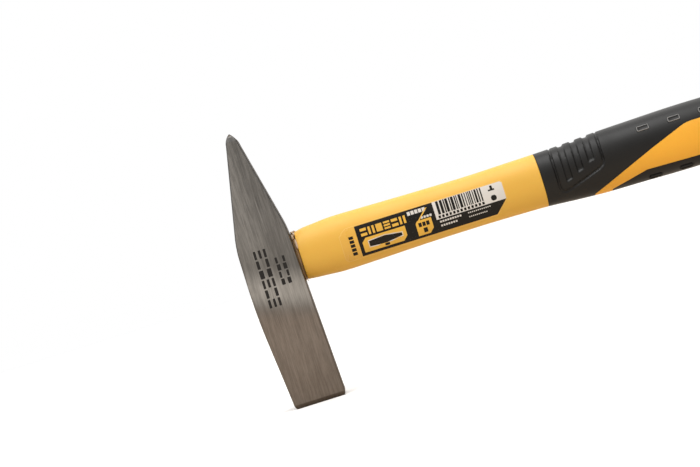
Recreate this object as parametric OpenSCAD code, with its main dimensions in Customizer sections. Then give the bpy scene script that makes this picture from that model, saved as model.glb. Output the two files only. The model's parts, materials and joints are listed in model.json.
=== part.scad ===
// Brick hammer: a forged head with a chisel blade, bonded on a fibreglass-cored handle.
// Millimetres. The striking face lies on Z = 0 with the blade up, the handle runs along +X,
// and the origin is the point of the striking face straight below the eye.

/* [Head] */
// Height of the head from the striking face to the blade's edge
head_h = 140.2; // [136:0.1:146]
// Depth of the head, from cheek to cheek
head_d = 22; // [20:0.5:26]
// Width of the body at the eye, measured along the handle
body_w = 27.4; // [26:0.1:29]
// Width of the blade where the rounded nose of its edge starts
edge_w = 6.2; // [5:0.1:7]
// Height of the rounded nose
edge_h = 5.2; // [4:0.1:6]
// Chamfer of the long edges of the head
edge_break = 0.9; // [0.4:0.1:1.4]
// Height of the chamfer round the striking face
face_break = 2.2; // [1.5:0.1:3]

/* [Eye and core] */
// Height of the handle's axis above the striking face
axis_h = 72.4; // [70:0.1:75]
// Height of the eye at its narrow mouth, on the handle's side
eye_h = 21; // [20:0.1:22]
// Depth of the eye at its narrow mouth
eye_d = 13; // [12:0.1:14]
// How much the eye opens towards its outer mouth
eye_flare = 3; // [1:0.1:4]
// Height of the fibreglass core
core_h = 17; // [14:0.1:18]
// Thickness of the fibreglass core
core_t = 9; // [7:0.1:10]

/* [Handle] */
// Distance from the eye to the jacket's end face
neck_x = 15.9; // [15.6:0.1:16.4]
// Distance from the eye to the edge of the grip
grip_x = 141.5; // [138:0.5:145]
// Distance from the eye to the butt of the grip
butt_x = 291; // [285:1:296]
// Thickness of the rubber grip over the jacket
skin = 2.4; // [1.8:0.1:2.8]
// Squareness of the handle's section, where 2 is an ellipse
squareness = 2.35; // [2:0.05:2.8]

/* [Grip details] */
// Depth of the channels between the thumb ribs
channel_depth = 0.85; // [0.4:0.05:1.2]
// Depth of the groove that frames the thumb ribs
frame_depth = 1.1; // [0.5:0.05:1.4]
// Distance between one stud and the next
stud_pitch = 16; // [14:0.1:16.2]
// Length of a stud
stud_l = 6.2; // [5:0.1:7]
// Width of a stud
stud_w = 2.7; // [2:0.1:3.2]
// Radius of a stud's corners
stud_r = 0.8; // [0.5:0.05:1]
// How far a stud stands proud of the grip
stud_proud = 0.45; // [0.2:0.05:0.6]
// Radius of the hanging hole
hang_r = 4; // [3:0.1:4.2]
// Radius of the bush that lines the hanging hole
bush_r = 5.6; // [5.2:0.1:6]
// Length of the bush, across the grip
bush_l = 23.4; // [22:0.1:23.6]

/* [Label] */
// Length of the printed film along the handle
label_l = 85; // [80:0.1:90]
// Thickness of the printed film
label_t = 0.15; // [0.1:0.05:0.3]

/* [Hidden] */
$fn = 64;

// Points round one section of the handle
around = 48;
// Distance between sections on the plain stretches and across the thumb ribs
coarse = 6;
fine = 0.9;
// Radius of the rounded butt
butt_r = 5;
// Place of the hanging hole, and where the core stops short of it
hang_x = butt_x - 12;
core_end = hang_x - 10;
// Flange of the bush, sunk into the grip
flange_r = bush_r + 1.8;
flange_t = 1.2;
// How deep a stud sits in its pocket
stud_sunk = 1.3;

// The handle's sections: distance from the eye, then top, bottom and half width from the axis
sections = [
    [neck_x, 11.9, -12.5, 8.6],
    [20, 12.9, -13.0, 9.2],
    [27, 13.5, -13.5, 9.7],
    [35, 14.05, -14.05, 10.0],
    [50, 13.85, -13.9, 9.9],
    [80, 13.25, -13.25, 9.5],
    [107, 13.0, -13.1, 9.4],
    [128, 13.3, -13.4, 9.8],
    [grip_x, 13.5, -13.8, 10.4],
    [158, 14.0, -15.0, 11.2],
    [172, 14.8, -15.8, 11.8],
    [190, 15.3, -16.15, 12.3],
    [215, 15.8, -16.7, 12.6],
    [238, 15.5, -16.5, 12.4],
    [258, 14.5, -15.7, 11.7],
    [272, 14.5, -16.1, 11.7],
    [butt_x - 6, 15.6, -18.2, 12.2],
    [butt_x, 16.0, -19.0, 12.3]
];

// Thumb ribs: centre, half width and lower end of each channel, and the path of the frame groove
channels = [[155.8, 1.75, -4.6], [162.3, 1.75, -1.6], [168.8, 1.75, 1.5]];
channel_slant = 0.3;
frame_path = [[150.1, 40], [150.1, -7.2], [151.6, -9.2], [172.6, -2.6], [174.5, 0], [174.5, 40]];
frame_half = 0.8;
// How far the relief leans back towards the head, for each millimetre out from the middle
relief_draft = 0.115;

// Outline of the orange window in the grip, from the axis
window = [
    [164.6, -24], [165.2, -14.7], [181.8, -7.7], [197.8, -1.2], [215.3, 5.3], [219.5, 6.1], [252, 6.1],
    [257, 5], [266, -6.4], [265, -10], [261, -11.7], [219, -11.6], [192.7, -10.8], [174.3, -15], [173, -24]
];

// First stud, number in a row, and the heights of the two rows from the axis
stud_x = 196.5;
stud_rows = 5;
upper_z = 9.6;
lower_z = -15.0;

// ---- Curves and sections ----

// Which two stations of a table lie either side of x
function span(t, x, i = 0) = i >= len(t) - 2 || x < t[i + 1][0] ? i : span(t, x, i + 1);

// Slope of column k at station i
function slope(t, k, i) =
    let (a = t[max(i - 1, 0)], b = t[min(i + 1, len(t) - 1)])
    (b[k] - a[k]) / (b[0] - a[0]);

// Column k of a table at x, on a smooth curve through its stations
function at(t, x, k) =
    let (i = span(t, x))
    let (w = t[i + 1][0] - t[i][0])
    let (u = min((x - t[i][0]) / w, 1))
    (2 * u * u * u - 3 * u * u + 1) * t[i][k]
    + (u * u * u - 2 * u * u + u) * w * slope(t, k, i)
    + (3 * u * u - 2 * u * u * u) * t[i + 1][k]
    + (u * u * u - u * u) * w * slope(t, k, i + 1);

// One coordinate of a superellipse of unit size
function side(v) = sign(v) * pow(abs(v), 2 / squareness);

// A point on the handle's section at x and angle a, moved inwards by inset
function skin_point(x, a, inset) =
    let (top = at(sections, x, 1) - inset, bottom = at(sections, x, 2) + inset)
    let (half = at(sections, x, 3) - inset)
    [x, half * side(cos(a)), axis_h + (top + bottom) / 2 + (top - bottom) / 2 * side(sin(a))];

// Half width of the handle's section at x and height z from the axis
function half_at(x, z) =
    let (top = at(sections, x, 1), bottom = at(sections, x, 2))
    let (v = abs(z - (top + bottom) / 2) / ((top - bottom) / 2))
    at(sections, x, 3) * pow(1 - pow(v, squareness), 1 / squareness);

function ring(x, inset = 0) = [for (i = [0:around - 1]) skin_point(x, 360 * i / around, inset)];

// Distance from a point to the stretch between a and b
function reach(p, a, b) =
    let (u = max(0, min(1, (p - a) * (b - a) / ((b - a) * (b - a)))))
    norm(p - a - u * (b - a));

// Depth of the thumb panel's relief at x and height z from the axis
function relief(x, z) =
    let (near = min([for (i = [0:len(frame_path) - 2]) reach([x, z], frame_path[i], frame_path[i + 1])]))
    let (groove = frame_depth * max(0, 1 - pow(near / frame_half, 2)))
    let (cut = max([for (c = channels)
        z > c[2] + channel_slant * (x - c[0]) ? max(0, 1 - pow((x - c[0]) / c[1], 4)) : 0]))
    max(groove, channel_depth * cut);

function relief_ring(x) = [
    for (i = [0:around - 1])
        let (a = 360 * i / around)
        let (p = skin_point(x, a, 0))
        skin_point(x, a, relief(x + relief_draft * abs(p[1]), p[2] - axis_h))
];

// Inset of a rounded butt that ends at x_end
function rounding(x, x_end) =
    let (u = max(0, x - (x_end - butt_r)))
    butt_r - sqrt(max(0, butt_r * butt_r - u * u));

// Stations from a to b, about step apart
function stations(a, b, step) =
    let (n = max(1, round((b - a) / step)))
    [for (i = [0:n]) a + (b - a) * i / n];

// Stations round the butt's corner, closer together towards its end
function corner(x_end) = [for (a = [0:18:72]) x_end - butt_r + butt_r * sin(a)];

// ---- Lofts ----

// Sides of a loft, for rings that start at point first
function walls(count, first, inside) = [
    for (i = [0:count - 2], j = [0:around - 1])
        let (a = first + i * around + j, b = first + i * around + (j + 1) % around)
        each inside
            ? [[a, b + around, a + around], [a, b, b + around]]
            : [[a, a + around, b + around], [a, b + around, b]]
];

// A solid through a list of rings
module loft(rings) {
    last = (len(rings) - 1) * around;
    polyhedron(
        points = [for (r = rings) each r],
        faces = concat(
            [[for (j = [0:around - 1]) j]],
            walls(len(rings), 0, false),
            [[for (j = [around - 1:-1:0]) last + j]]
        ),
        convexity = 8
    );
}

// A cup between outer and inner rings, open at its first ring and closed at its last
module cup(outer, inner) {
    first = len(outer) * around;
    outer_last = first - around;
    inner_last = first + (len(inner) - 1) * around;
    mouth = [
        for (j = [0:around - 1])
            let (k = (j + 1) % around)
            each [[j, k, first + k], [j, first + k, first + j]]
    ];
    polyhedron(
        points = concat([for (r = outer) each r], [for (r = inner) each r]),
        faces = concat(
            walls(len(outer), 0, false),
            [[for (j = [around - 1:-1:0]) outer_last + j]],
            walls(len(inner), first, true),
            [[for (j = [0:around - 1]) inner_last + j]],
            mouth
        ),
        convexity = 10
    );
}

// Rings of the jacket under the grip, which are also the grip's inner wall
under_end = butt_x - skin;
under_rings = [
    for (x = concat(stations(grip_x, under_end - butt_r, coarse), corner(under_end)))
        ring(x, skin + rounding(x, under_end))
];

// Rings of the grip's outer wall, close together across the thumb ribs
ribs_from = 148.4;
ribs_to = 176.2;
grip_rings = [
    for (x = concat(
        stations(grip_x, ribs_from - fine, coarse),
        stations(ribs_from, ribs_to, fine),
        stations(ribs_to + fine, butt_x - butt_r - 1, coarse),
        corner(butt_x)
    ))
        x > ribs_from && x < ribs_to ? relief_ring(x) : ring(x, rounding(x, butt_x))
];

// ---- Head ----

// Points of an arc about a centre, from angle a0 to a1
function arc(cx, cz, r, a0, a1, n) = [
    for (i = [0:n]) let (a = a0 + (a1 - a0) * i / n) [cx + r * cos(a), cz + r * sin(a)]
];

// Outline of the head seen from the cheek: X against height above the striking face
half_body = body_w / 2;
blade_z = head_h - edge_h;
back_r = 300;
back_turn = 5.2;
back_z = axis_h - 8;
shoulder_r = 60;
flank = atan((half_body - edge_w / 2) / (blade_z - axis_h - 14));
// The nose of the blade, drawn to a blunt point: half width at a share t of its height
nose_steps = 8;
function nose(t) = edge_w / 2 * pow(1 - pow(t, 1.6), 0.75);
head_outline = concat(
    [[-8.0, 0], [16.2, 0], [17.0, face_break]],
    arc(half_body - shoulder_r + 0.1, axis_h + 8, shoulder_r, 1.5, flank, 5),
    [for (i = [0:nose_steps - 1]) [nose(i / nose_steps), blade_z + edge_h * i / nose_steps]],
    [[0.25, head_h], [-0.25, head_h]],
    [for (i = [nose_steps - 1:-1:0]) [-nose(i / nose_steps), blade_z + edge_h * i / nose_steps]],
    arc(-half_body + shoulder_r, axis_h + 6, shoulder_r, 180 - flank, 180, 5),
    arc(-half_body + back_r, back_z, back_r, 180, 180 + back_turn, 5),
    [[-9.2, face_break]]
);

// Outline of the head seen along the handle: half depth against height
half_depth = head_d / 2;
face_in = 1.0;
tip_in = 1.5;
tip_h = 3.8;
depth_outline = [
    [-half_depth + face_in, 0], [half_depth - face_in, 0], [half_depth, face_break + 0.1],
    [half_depth, head_h - tip_h], [half_depth - tip_in / 3, head_h - 0.45 * tip_h],
    [half_depth - tip_in, head_h + 0.1], [-half_depth + tip_in, head_h + 0.1],
    [-half_depth + tip_in / 3, head_h - 0.45 * tip_h], [-half_depth, head_h - tip_h],
    [-half_depth, face_break + 0.1]
];

// A slice of the head's outline, shrunk by an inset and of the given depth
module cheek(inset, depth) {
    rotate([90, 0, 0])
        linear_extrude(height = depth, center = true)
            offset(delta = -inset)
                polygon(head_outline);
}

// The whole forging before its eye is cut
module forging() {
    intersection() {
        hull() {
            cheek(edge_break, head_d);
            cheek(0, head_d - 2 * edge_break);
        }
        rotate([90, 0, 90])
            linear_extrude(height = 4 * body_w, center = true)
                polygon(depth_outline);
    }
}

// An oval with flat flanks: h high and d deep, its length along X
module oval_bar(x, length, h, d) {
    translate([x, 0, axis_h])
        rotate([90, 0, 90])
            linear_extrude(height = length)
                union() {
                    square([d, h - d], center = true);
                    for (s = [-1, 1])
                        translate([0, s * (h - d) / 2])
                            circle(d = d, $fn = 32);
                }
}

// The tapered eye, longer than the head is wide
eye_from = -half_body - 2;
eye_to = neck_x;
module eye_form() {
    hull() {
        oval_bar(eye_from, 0.01, eye_h + eye_flare, eye_d + eye_flare);
        oval_bar(eye_to, 0.01, eye_h, eye_d);
    }
}

module head() {
    color("slategray")
        difference() {
            forging();
            eye_form();
            oval_bar(eye_to - 0.1, 10, eye_h, eye_d);
        }
}

// ---- Core and bond ----

// The core stops short of the eye's outer mouth
core_from = -half_body + 3;
resin_from = -half_body + 1;
bead_h = 24.2;
bead_d = 16.6;

module core_form() {
    oval_bar(core_from, core_end - core_from, core_h, core_t);
}

module core_rod() {
    color("lemonchiffon")
        core_form();
}

module eye_epoxy() {
    color("gainsboro")
        difference() {
            union() {
                intersection() {
                    eye_form();
                    translate([resin_from, -head_d, axis_h - eye_h])
                        cube([neck_x - resin_from, 2 * head_d, 2 * eye_h]);
                }
                difference() {
                    oval_bar(half_body - 1, neck_x - half_body + 1, bead_h, bead_d);
                    forging();
                }
            }
            core_form();
        }
}

// ---- Handle ----

module jacket_blank() {
    loft(concat(
        [for (x = stations(neck_x, grip_x, coarse)) ring(x)],
        under_rings
    ));
}

// A cylinder across the handle at the hanging hole
module cross_bar(r, length) {
    translate([hang_x, 0, axis_h - 1])
        rotate([90, 0, 0])
            cylinder(h = length, r = r, center = true);
}

module bush_form(play) {
    cross_bar(bush_r, bush_l + play);
    for (s = [-1, 1])
        translate([0, s * (bush_l / 2 - flange_t / 2 + play / 2), 0])
            cross_bar(flange_r, flange_t + play);
}

module hang_bush() {
    color("orange")
        difference() {
            bush_form(0);
            cross_bar(hang_r, 2 * bush_l);
        }
}

module handle_jacket() {
    color("gold")
        difference() {
            jacket_blank();
            core_form();
            cross_bar(bush_r, 2 * bush_l);
        }
}

// ---- Grip ----

module grip_blank() {
    cup(grip_rings, under_rings);
}

// The window through both flanks, joined under the belly at its front end
module window_bar() {
    translate([0, 0, axis_h])
        rotate([90, 0, 0])
            linear_extrude(height = 60, center = true)
                polygon(window);
}

// One stud: a bar with rounded corners, its own Z pointing out of the grip
module stud(depth, height) {
    long = stud_l / 2 - stud_r;
    wide = stud_w / 2 - stud_r;
    translate([0, 0, -depth])
        linear_extrude(height = depth + height)
            union() {
                square([2 * long, stud_w], center = true);
                square([stud_l, 2 * wide], center = true);
                for (u = [-1, 1], v = [-1, 1])
                    translate([u * long, v * wide])
                        circle(r = stud_r);
            }
}

// A row of studs along both flanks, at a height z and turned to face outwards
module stud_row(z, depth, height) {
    for (i = [0:stud_rows - 1], s = [-1, 1]) {
        x = stud_x + i * stud_pitch;
        lean = atan((half_at(x, z - 0.5) - half_at(x, z + 0.5)) / 1);
        translate([x, s * half_at(x, z), axis_h + z])
            rotate([-s * (90 - lean), 0, 0])
                stud(depth, height);
    }
}

module upper_studs() {
    color("dimgray")
        stud_row(upper_z, stud_sunk, stud_proud);
}

module lower_studs() {
    color("dimgray")
        stud_row(lower_z, stud_sunk, stud_proud);
}

module grip_sleeve() {
    color("#2d2c2a")
        difference() {
            grip_blank();
            window_bar();
            stud_row(upper_z, stud_sunk, 2);
            stud_row(lower_z, stud_sunk, 2);
            bush_form(2);
        }
}

module grip_inlay() {
    color("darkorange")
        intersection() {
            grip_blank();
            window_bar();
        }
}

// ---- Label ----

label_x = 37;
label_top = 5.8;
label_bottom = -10.2;
label_cut = 5.4;
label_steps = 6;
label_shoulder = [7.5, 5.9];
label_corner = 2.5;

// How far an elliptical corner of the given size draws in at a distance from its end
function drawn_in(size, rise, from) = rise * (1 - sqrt(1 - pow(max(0, 1 - from / size), 2)));

// Lower and upper edge of the label at x, with its near corners rounded and its far one cut
function label_edge(x, v) =
    let (near = x - label_x)
    let (far = max(0, label_cut - (label_x + label_l - x)))
    let (low = label_bottom + drawn_in(label_corner, label_corner, near) + 1.2 * far)
    let (high = label_top - drawn_in(label_shoulder[0], label_shoulder[1], near) - 0.1 * far)
    low + (high - low) * v;

// A grid of points over the flank, moved outwards by lift
function label_grid(lift) = [
    for (x = concat([for (u = [0, 0.3, 1, 2.2, 4, 6]) label_x + u],
                    stations(label_x + 8, label_x + label_l - label_cut, 6), [label_x + label_l]))
        for (j = [0:label_steps])
            let (z = label_edge(x, j / label_steps))
            let (lean = atan(half_at(x, z - 0.5) - half_at(x, z + 0.5)))
            [x, -half_at(x, z) - lift * cos(lean), axis_h + z + lift * sin(lean)]
];

module label_film() {
    low = label_grid(0.02);
    high = label_grid(0.02 + label_t);
    row = label_steps + 1;
    n = len(low);
    columns = n / row;
    skin_faces = [
        for (i = [0:columns - 2], j = [0:label_steps - 1])
            let (a = i * row + j)
            each [[a, a + row, a + row + 1], [a, a + row + 1, a + 1]]
    ];
    rim = concat(
        [for (i = [0:columns - 1]) i * row],
        [for (j = [1:label_steps]) (columns - 1) * row + j],
        [for (i = [columns - 2:-1:0]) i * row + label_steps],
        [for (j = [label_steps - 1:-1:1]) j]
    );
    color("whitesmoke")
        polyhedron(
            points = concat(low, high),
            faces = concat(
                skin_faces,
                [for (f = skin_faces) [n + f[0], n + f[2], n + f[1]]],
                [for (i = [0:len(rim) - 1])
                    let (a = rim[i], b = rim[(i + 1) % len(rim)])
                    each [[a, n + b, b], [a, n + a, n + b]]]
            ),
            convexity = 4
        );
}

head();
eye_epoxy();
core_rod();
handle_jacket();
grip_sleeve();
grip_inlay();
upper_studs();
lower_studs();
label_film();
hang_bush();
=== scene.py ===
"""Brick hammer: its visible pieces, their finishes, and the studio they are shown in.

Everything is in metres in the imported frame: the striking face lies on Z = 0 with the blade up,
the handle runs along +X, and the label is on the -Y side.
"""
import sys
import json
import logging
import math
import random
from dataclasses import dataclass, field
from enum import Enum
from typing import Callable, Sequence

import bmesh
import bpy
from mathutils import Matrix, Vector

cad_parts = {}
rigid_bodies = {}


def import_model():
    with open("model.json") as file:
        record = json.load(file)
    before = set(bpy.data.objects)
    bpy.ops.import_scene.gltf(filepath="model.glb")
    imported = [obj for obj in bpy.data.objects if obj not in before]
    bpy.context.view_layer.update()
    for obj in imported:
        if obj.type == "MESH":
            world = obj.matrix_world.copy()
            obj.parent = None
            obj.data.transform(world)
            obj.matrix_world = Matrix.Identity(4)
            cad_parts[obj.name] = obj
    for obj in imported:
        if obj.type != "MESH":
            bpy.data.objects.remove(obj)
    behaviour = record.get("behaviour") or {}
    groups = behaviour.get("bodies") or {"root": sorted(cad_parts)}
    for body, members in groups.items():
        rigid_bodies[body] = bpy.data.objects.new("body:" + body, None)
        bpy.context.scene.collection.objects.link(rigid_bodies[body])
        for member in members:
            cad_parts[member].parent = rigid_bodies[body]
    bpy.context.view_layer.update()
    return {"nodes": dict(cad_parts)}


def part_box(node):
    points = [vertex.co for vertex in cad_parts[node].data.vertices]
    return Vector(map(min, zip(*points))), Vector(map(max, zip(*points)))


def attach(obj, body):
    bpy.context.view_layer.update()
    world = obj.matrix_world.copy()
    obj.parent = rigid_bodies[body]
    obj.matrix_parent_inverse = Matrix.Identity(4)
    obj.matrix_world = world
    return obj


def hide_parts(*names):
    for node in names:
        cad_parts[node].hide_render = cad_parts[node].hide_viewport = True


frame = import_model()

MM = 0.001
BODY = "root"
ORIGIN = (0.0, 0.0, 0.0)
ACROSS = (0.0, 0.0, math.pi / 2)
CLOSE = 1e-7
EYE_SQUARENESS = 2.3
BUSH_TO_BUTT = 11.985 * MM
BUSH_SEAT = 5.7 * MM
FLANGE_SEAT = 7.5 * MM
log = logging.getLogger("brick_hammer")


class Part(Enum):
    """What an edit-mode selection is made of."""

    VERT = "VERT"
    EDGE = "EDGE"
    FACE = "FACE"


class Cut(Enum):
    """What a boolean keeps of the piece it works on."""

    REMOVE = "DIFFERENCE"
    KEEP = "INTERSECT"


class Slot(Enum):
    """The record's material slots."""

    STEEL = "forged_steel"
    RESIN = "resin"
    FIBRE = "fibreglass"
    JACKET = "jacket_plastic"
    RUBBER = "grip_rubber"
    INLAY = "inlay_rubber"
    STUD = "stud_plastic"
    PRINT = "label_print"
    BUSH = "bush_plastic"


# ---------------------------------------------------------------- the bench

def clear_bench() -> None:
    """Leave edit mode and deselect everything, the CAD nodes among them."""
    active = bpy.context.object
    if active is not None and active.mode != "OBJECT":
        bpy.ops.object.mode_set(mode="OBJECT")
    bpy.ops.object.select_all(action="DESELECT")


class Bench:
    """One mesh on the bench: its parts are picked by place and shaped by operator."""

    def __init__(self, name: str) -> None:
        """Adopt the object that an operator has just added, and apply its place to its mesh.

        Args:
            name: The piece's name.
        """
        self.piece: bpy.types.Object = bpy.context.object
        self.piece.name = name
        self.piece.data.name = name
        bpy.ops.object.transform_apply(location=True, rotation=True, scale=True)

    def activate(self) -> None:
        """Make this the only selected object, in object mode."""
        clear_bench()
        self.piece.select_set(True)
        bpy.context.view_layer.objects.active = self.piece

    def edit(self, part: Part = Part.VERT) -> None:
        """Open the mesh in edit mode.

        Args:
            part: What is to be selected there.
        """
        if self.piece.mode != "EDIT":
            self.activate()
            bpy.ops.object.mode_set(mode="EDIT")
        bpy.ops.mesh.select_mode(type=part.value)

    def pick(self, part: Part, test: Callable[[Vector], bool]) -> int:
        """Select the vertices, edges or faces whose middle passes a test.

        Args:
            part: What to select.
            test: Says whether a middle point counts.

        Returns:
            How many were selected.
        """
        self.edit(part)
        bpy.ops.mesh.select_all(action="DESELECT")
        shape = bmesh.from_edit_mesh(self.piece.data)
        if part is Part.VERT:
            found = [v for v in shape.verts if test(v.co)]
        elif part is Part.EDGE:
            found = [e for e in shape.edges if test((e.verts[0].co + e.verts[1].co) / 2)]
        else:
            found = [f for f in shape.faces if test(f.calc_center_median())]
        for item in found:
            item.select_set(True)
        shape.select_flush_mode()
        bmesh.update_edit_mesh(self.piece.data)
        return len(found)

    def pick_all(self, part: Part = Part.FACE) -> None:
        """Select the whole mesh."""
        self.edit(part)
        bpy.ops.mesh.select_all(action="SELECT")

    def apply(self, kind: str, **settings: object) -> None:
        """Add a modifier with these settings and apply it.

        Args:
            kind: Blender's name of the modifier.
            **settings: Values for the modifier's own properties.
        """
        self.activate()
        bpy.ops.object.modifier_add(type=kind)
        modifier = self.piece.modifiers[-1]
        for key, value in settings.items():
            setattr(modifier, key, value)
        bpy.ops.object.modifier_apply(modifier=modifier.name)

    def cut(self, tool: "Bench", keep: Cut) -> None:
        """Cut this piece with another, which is used up."""
        self.apply("BOOLEAN", object=tool.piece, operation=keep.value, solver="EXACT")
        tool.scrap()

    def scrap(self) -> None:
        """Delete this object."""
        self.activate()
        bpy.ops.object.delete()

    def copy(self, name: str) -> "Bench":
        """Copy the piece with its own mesh.

        Args:
            name: The copy's name.

        Returns:
            The copy.
        """
        self.activate()
        bpy.ops.object.duplicate(linked=False)
        return Bench(name)

    @staticmethod
    def joined(name: str, parts: Sequence["Bench"]) -> "Bench":
        """Join several pieces into the first of them.

        Args:
            name: The whole's name.
            parts: The pieces.

        Returns:
            The whole.
        """
        whole = parts[0]
        whole.activate()
        for other in parts[1:]:
            other.piece.select_set(True)
        bpy.context.view_layer.objects.active = whole.piece
        bpy.ops.object.join()
        whole.piece.name = name
        return whole

    def settle(self, place: Vector, turn: tuple[float, float, float]) -> None:
        """Turn and move the piece from the origin, and apply that to its mesh.

        Args:
            place: Where its origin goes.
            turn: Its turns about X, Y and Z.
        """
        self.activate()
        self.piece.rotation_euler = turn
        self.piece.location = place
        bpy.ops.object.transform_apply(location=True, rotation=True, scale=True)

    def wear(self, material: bpy.types.Material) -> None:
        """Replace the piece's materials with one."""
        self.piece.data.materials.clear()
        self.piece.data.materials.append(material)

    def face_out(self) -> None:
        """Merge doubles and turn every face outwards."""
        self.pick_all()
        bpy.ops.mesh.remove_doubles(threshold=1e-6)
        bpy.ops.mesh.normals_make_consistent(inside=False)
        bpy.ops.object.mode_set(mode="OBJECT")

    def smooth(self, degrees: float) -> None:
        """Shade smooth, with sharp edges where faces meet at more than an angle."""
        self.activate()
        bpy.ops.object.shade_smooth_by_angle(angle=math.radians(degrees))

    def finish(self, material: bpy.types.Material, slot: Slot, *nodes: str) -> None:
        """Dress the piece and fasten it to the frame.

        Args:
            material: Its material.
            slot: The record's slot; not used.
            *nodes: The CAD nodes that it stands for.
        """
        self.activate()
        self.wear(material)
        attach(self.piece, BODY)
        if nodes:
            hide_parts(*nodes)
        log.info("%s: %d faces, %s", self.piece.name, len(self.piece.data.polygons), material.name)


# ---------------------------------------------------------------- swept shapes

@dataclass(frozen=True)
class Ring:
    """A section across the handle: its place, the height of its middle, and its half sizes."""

    x: float
    z: float
    half: float
    rise: float

    def grown(self, by: float, x: float | None = None) -> "Ring":
        """The same ring, larger all round."""
        return Ring(self.x if x is None else x, self.z, self.half + by, self.rise + by)


def superellipse_loop(name: str, ring: Ring, count: int, squareness: float) -> Bench:
    """Add a loop of edges round a ring: a circle whose quarters are pushed outwards.

    Args:
        name: The piece's name.
        ring: The loop's place and size.
        count: Points round it, a multiple of four.
        squareness: 2 for an ellipse, more for a squarer loop.

    Returns:
        The loop, open in edit mode with all of it selected.
    """
    clear_bench()
    bpy.ops.mesh.primitive_circle_add(vertices=count, radius=1.0, location=(ring.x, 0.0, 0.0),
                                      rotation=(0.0, math.pi / 2, 0.0))
    bench = Bench(name)
    power = 2.0 / squareness - 1.0
    for step in range(1, count // 4):
        angle = 2.0 * math.pi * step / count
        across, up = math.cos(angle), math.sin(angle)
        bench.pick(Part.VERT, lambda p: abs(abs(p.y) - across) < 1e-4 and abs(abs(p.z) - up) < 1e-4)
        bpy.ops.transform.resize(value=(1.0, across ** power, up ** power),
                                 center_override=(ring.x, 0.0, 0.0))
    bench.pick_all(Part.EDGE)
    bpy.ops.transform.resize(value=(1.0, ring.half, ring.rise), center_override=(ring.x, 0.0, 0.0))
    bpy.ops.transform.translate(value=(0.0, 0.0, ring.z))
    return bench


def sweep(name: str, rings: Sequence[Ring], count: int, squareness: float) -> Bench:
    """Extrude one loop through a list of rings and close both ends.

    Args:
        name: The piece's name.
        rings: The sections in order; the path may turn back to make a wall.
        count: Points round each section.
        squareness: 2 for elliptical sections, more for squarer ones.

    Returns:
        The closed piece.
    """
    bench = superellipse_loop(name, rings[0], count, squareness)
    for last, ring in zip(rings, rings[1:]):
        step = (ring.x - last.x, 0.0, ring.z - last.z)
        bpy.ops.mesh.extrude_edges_move(TRANSFORM_OT_translate={"value": step})
        bpy.ops.transform.resize(value=(1.0, ring.half / last.half, ring.rise / last.rise),
                                 center_override=(ring.x, 0.0, ring.z))
    bench.pick_all(Part.EDGE)
    bpy.ops.mesh.fill_holes(sides=0)
    bench.face_out()
    return bench


def draw_outline(name: str, points: Sequence[tuple[float, float]], depth: float) -> Bench:
    """Draw an outline in the X-Z plane by extruding one point round it, then extrude it along Y.

    Args:
        name: The piece's name.
        points: The outline's corners, as X and Z.
        depth: How thick the bar is, half of it on each side of the plane.

    Returns:
        The closed bar.
    """
    clear_bench()
    first = points[0]
    bpy.ops.mesh.primitive_plane_add(size=MM, location=(first[0], -depth / 2, first[1]))
    bench = Bench(name)
    bench.pick_all(Part.VERT)
    bpy.ops.mesh.merge(type="CENTER")
    for a, b in zip(points, points[1:]):
        bpy.ops.mesh.extrude_vertices_move(
            TRANSFORM_OT_translate={"value": (b[0] - a[0], 0.0, b[1] - a[1])})
    bench.pick_all(Part.VERT)
    bpy.ops.mesh.edge_face_add()
    bench.pick_all(Part.FACE)
    bpy.ops.mesh.extrude_region_move(TRANSFORM_OT_translate={"value": (0.0, depth, 0.0)})
    bench.face_out()
    return bench


def between(a: float, b: float, step: float) -> list[float]:
    """Evenly spaced values from a to b."""
    count = max(1, round(abs(b - a) / step))
    return [a + (b - a) * i / count for i in range(count + 1)]


def level_at(points: Sequence[tuple[float, float]], z: float) -> float:
    """Read a polyline of (height, distance) pairs at a height.

    Args:
        points: The polyline, lowest first.
        z: The height.

    Returns:
        The distance there.
    """
    for (z0, x0), (z1, x1) in zip(points, points[1:]):
        if z <= z1:
            return x0 + (x1 - x0) * (z - z0) / (z1 - z0)
    return points[-1][1]


# ---------------------------------------------------------------- the handle's form

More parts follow.
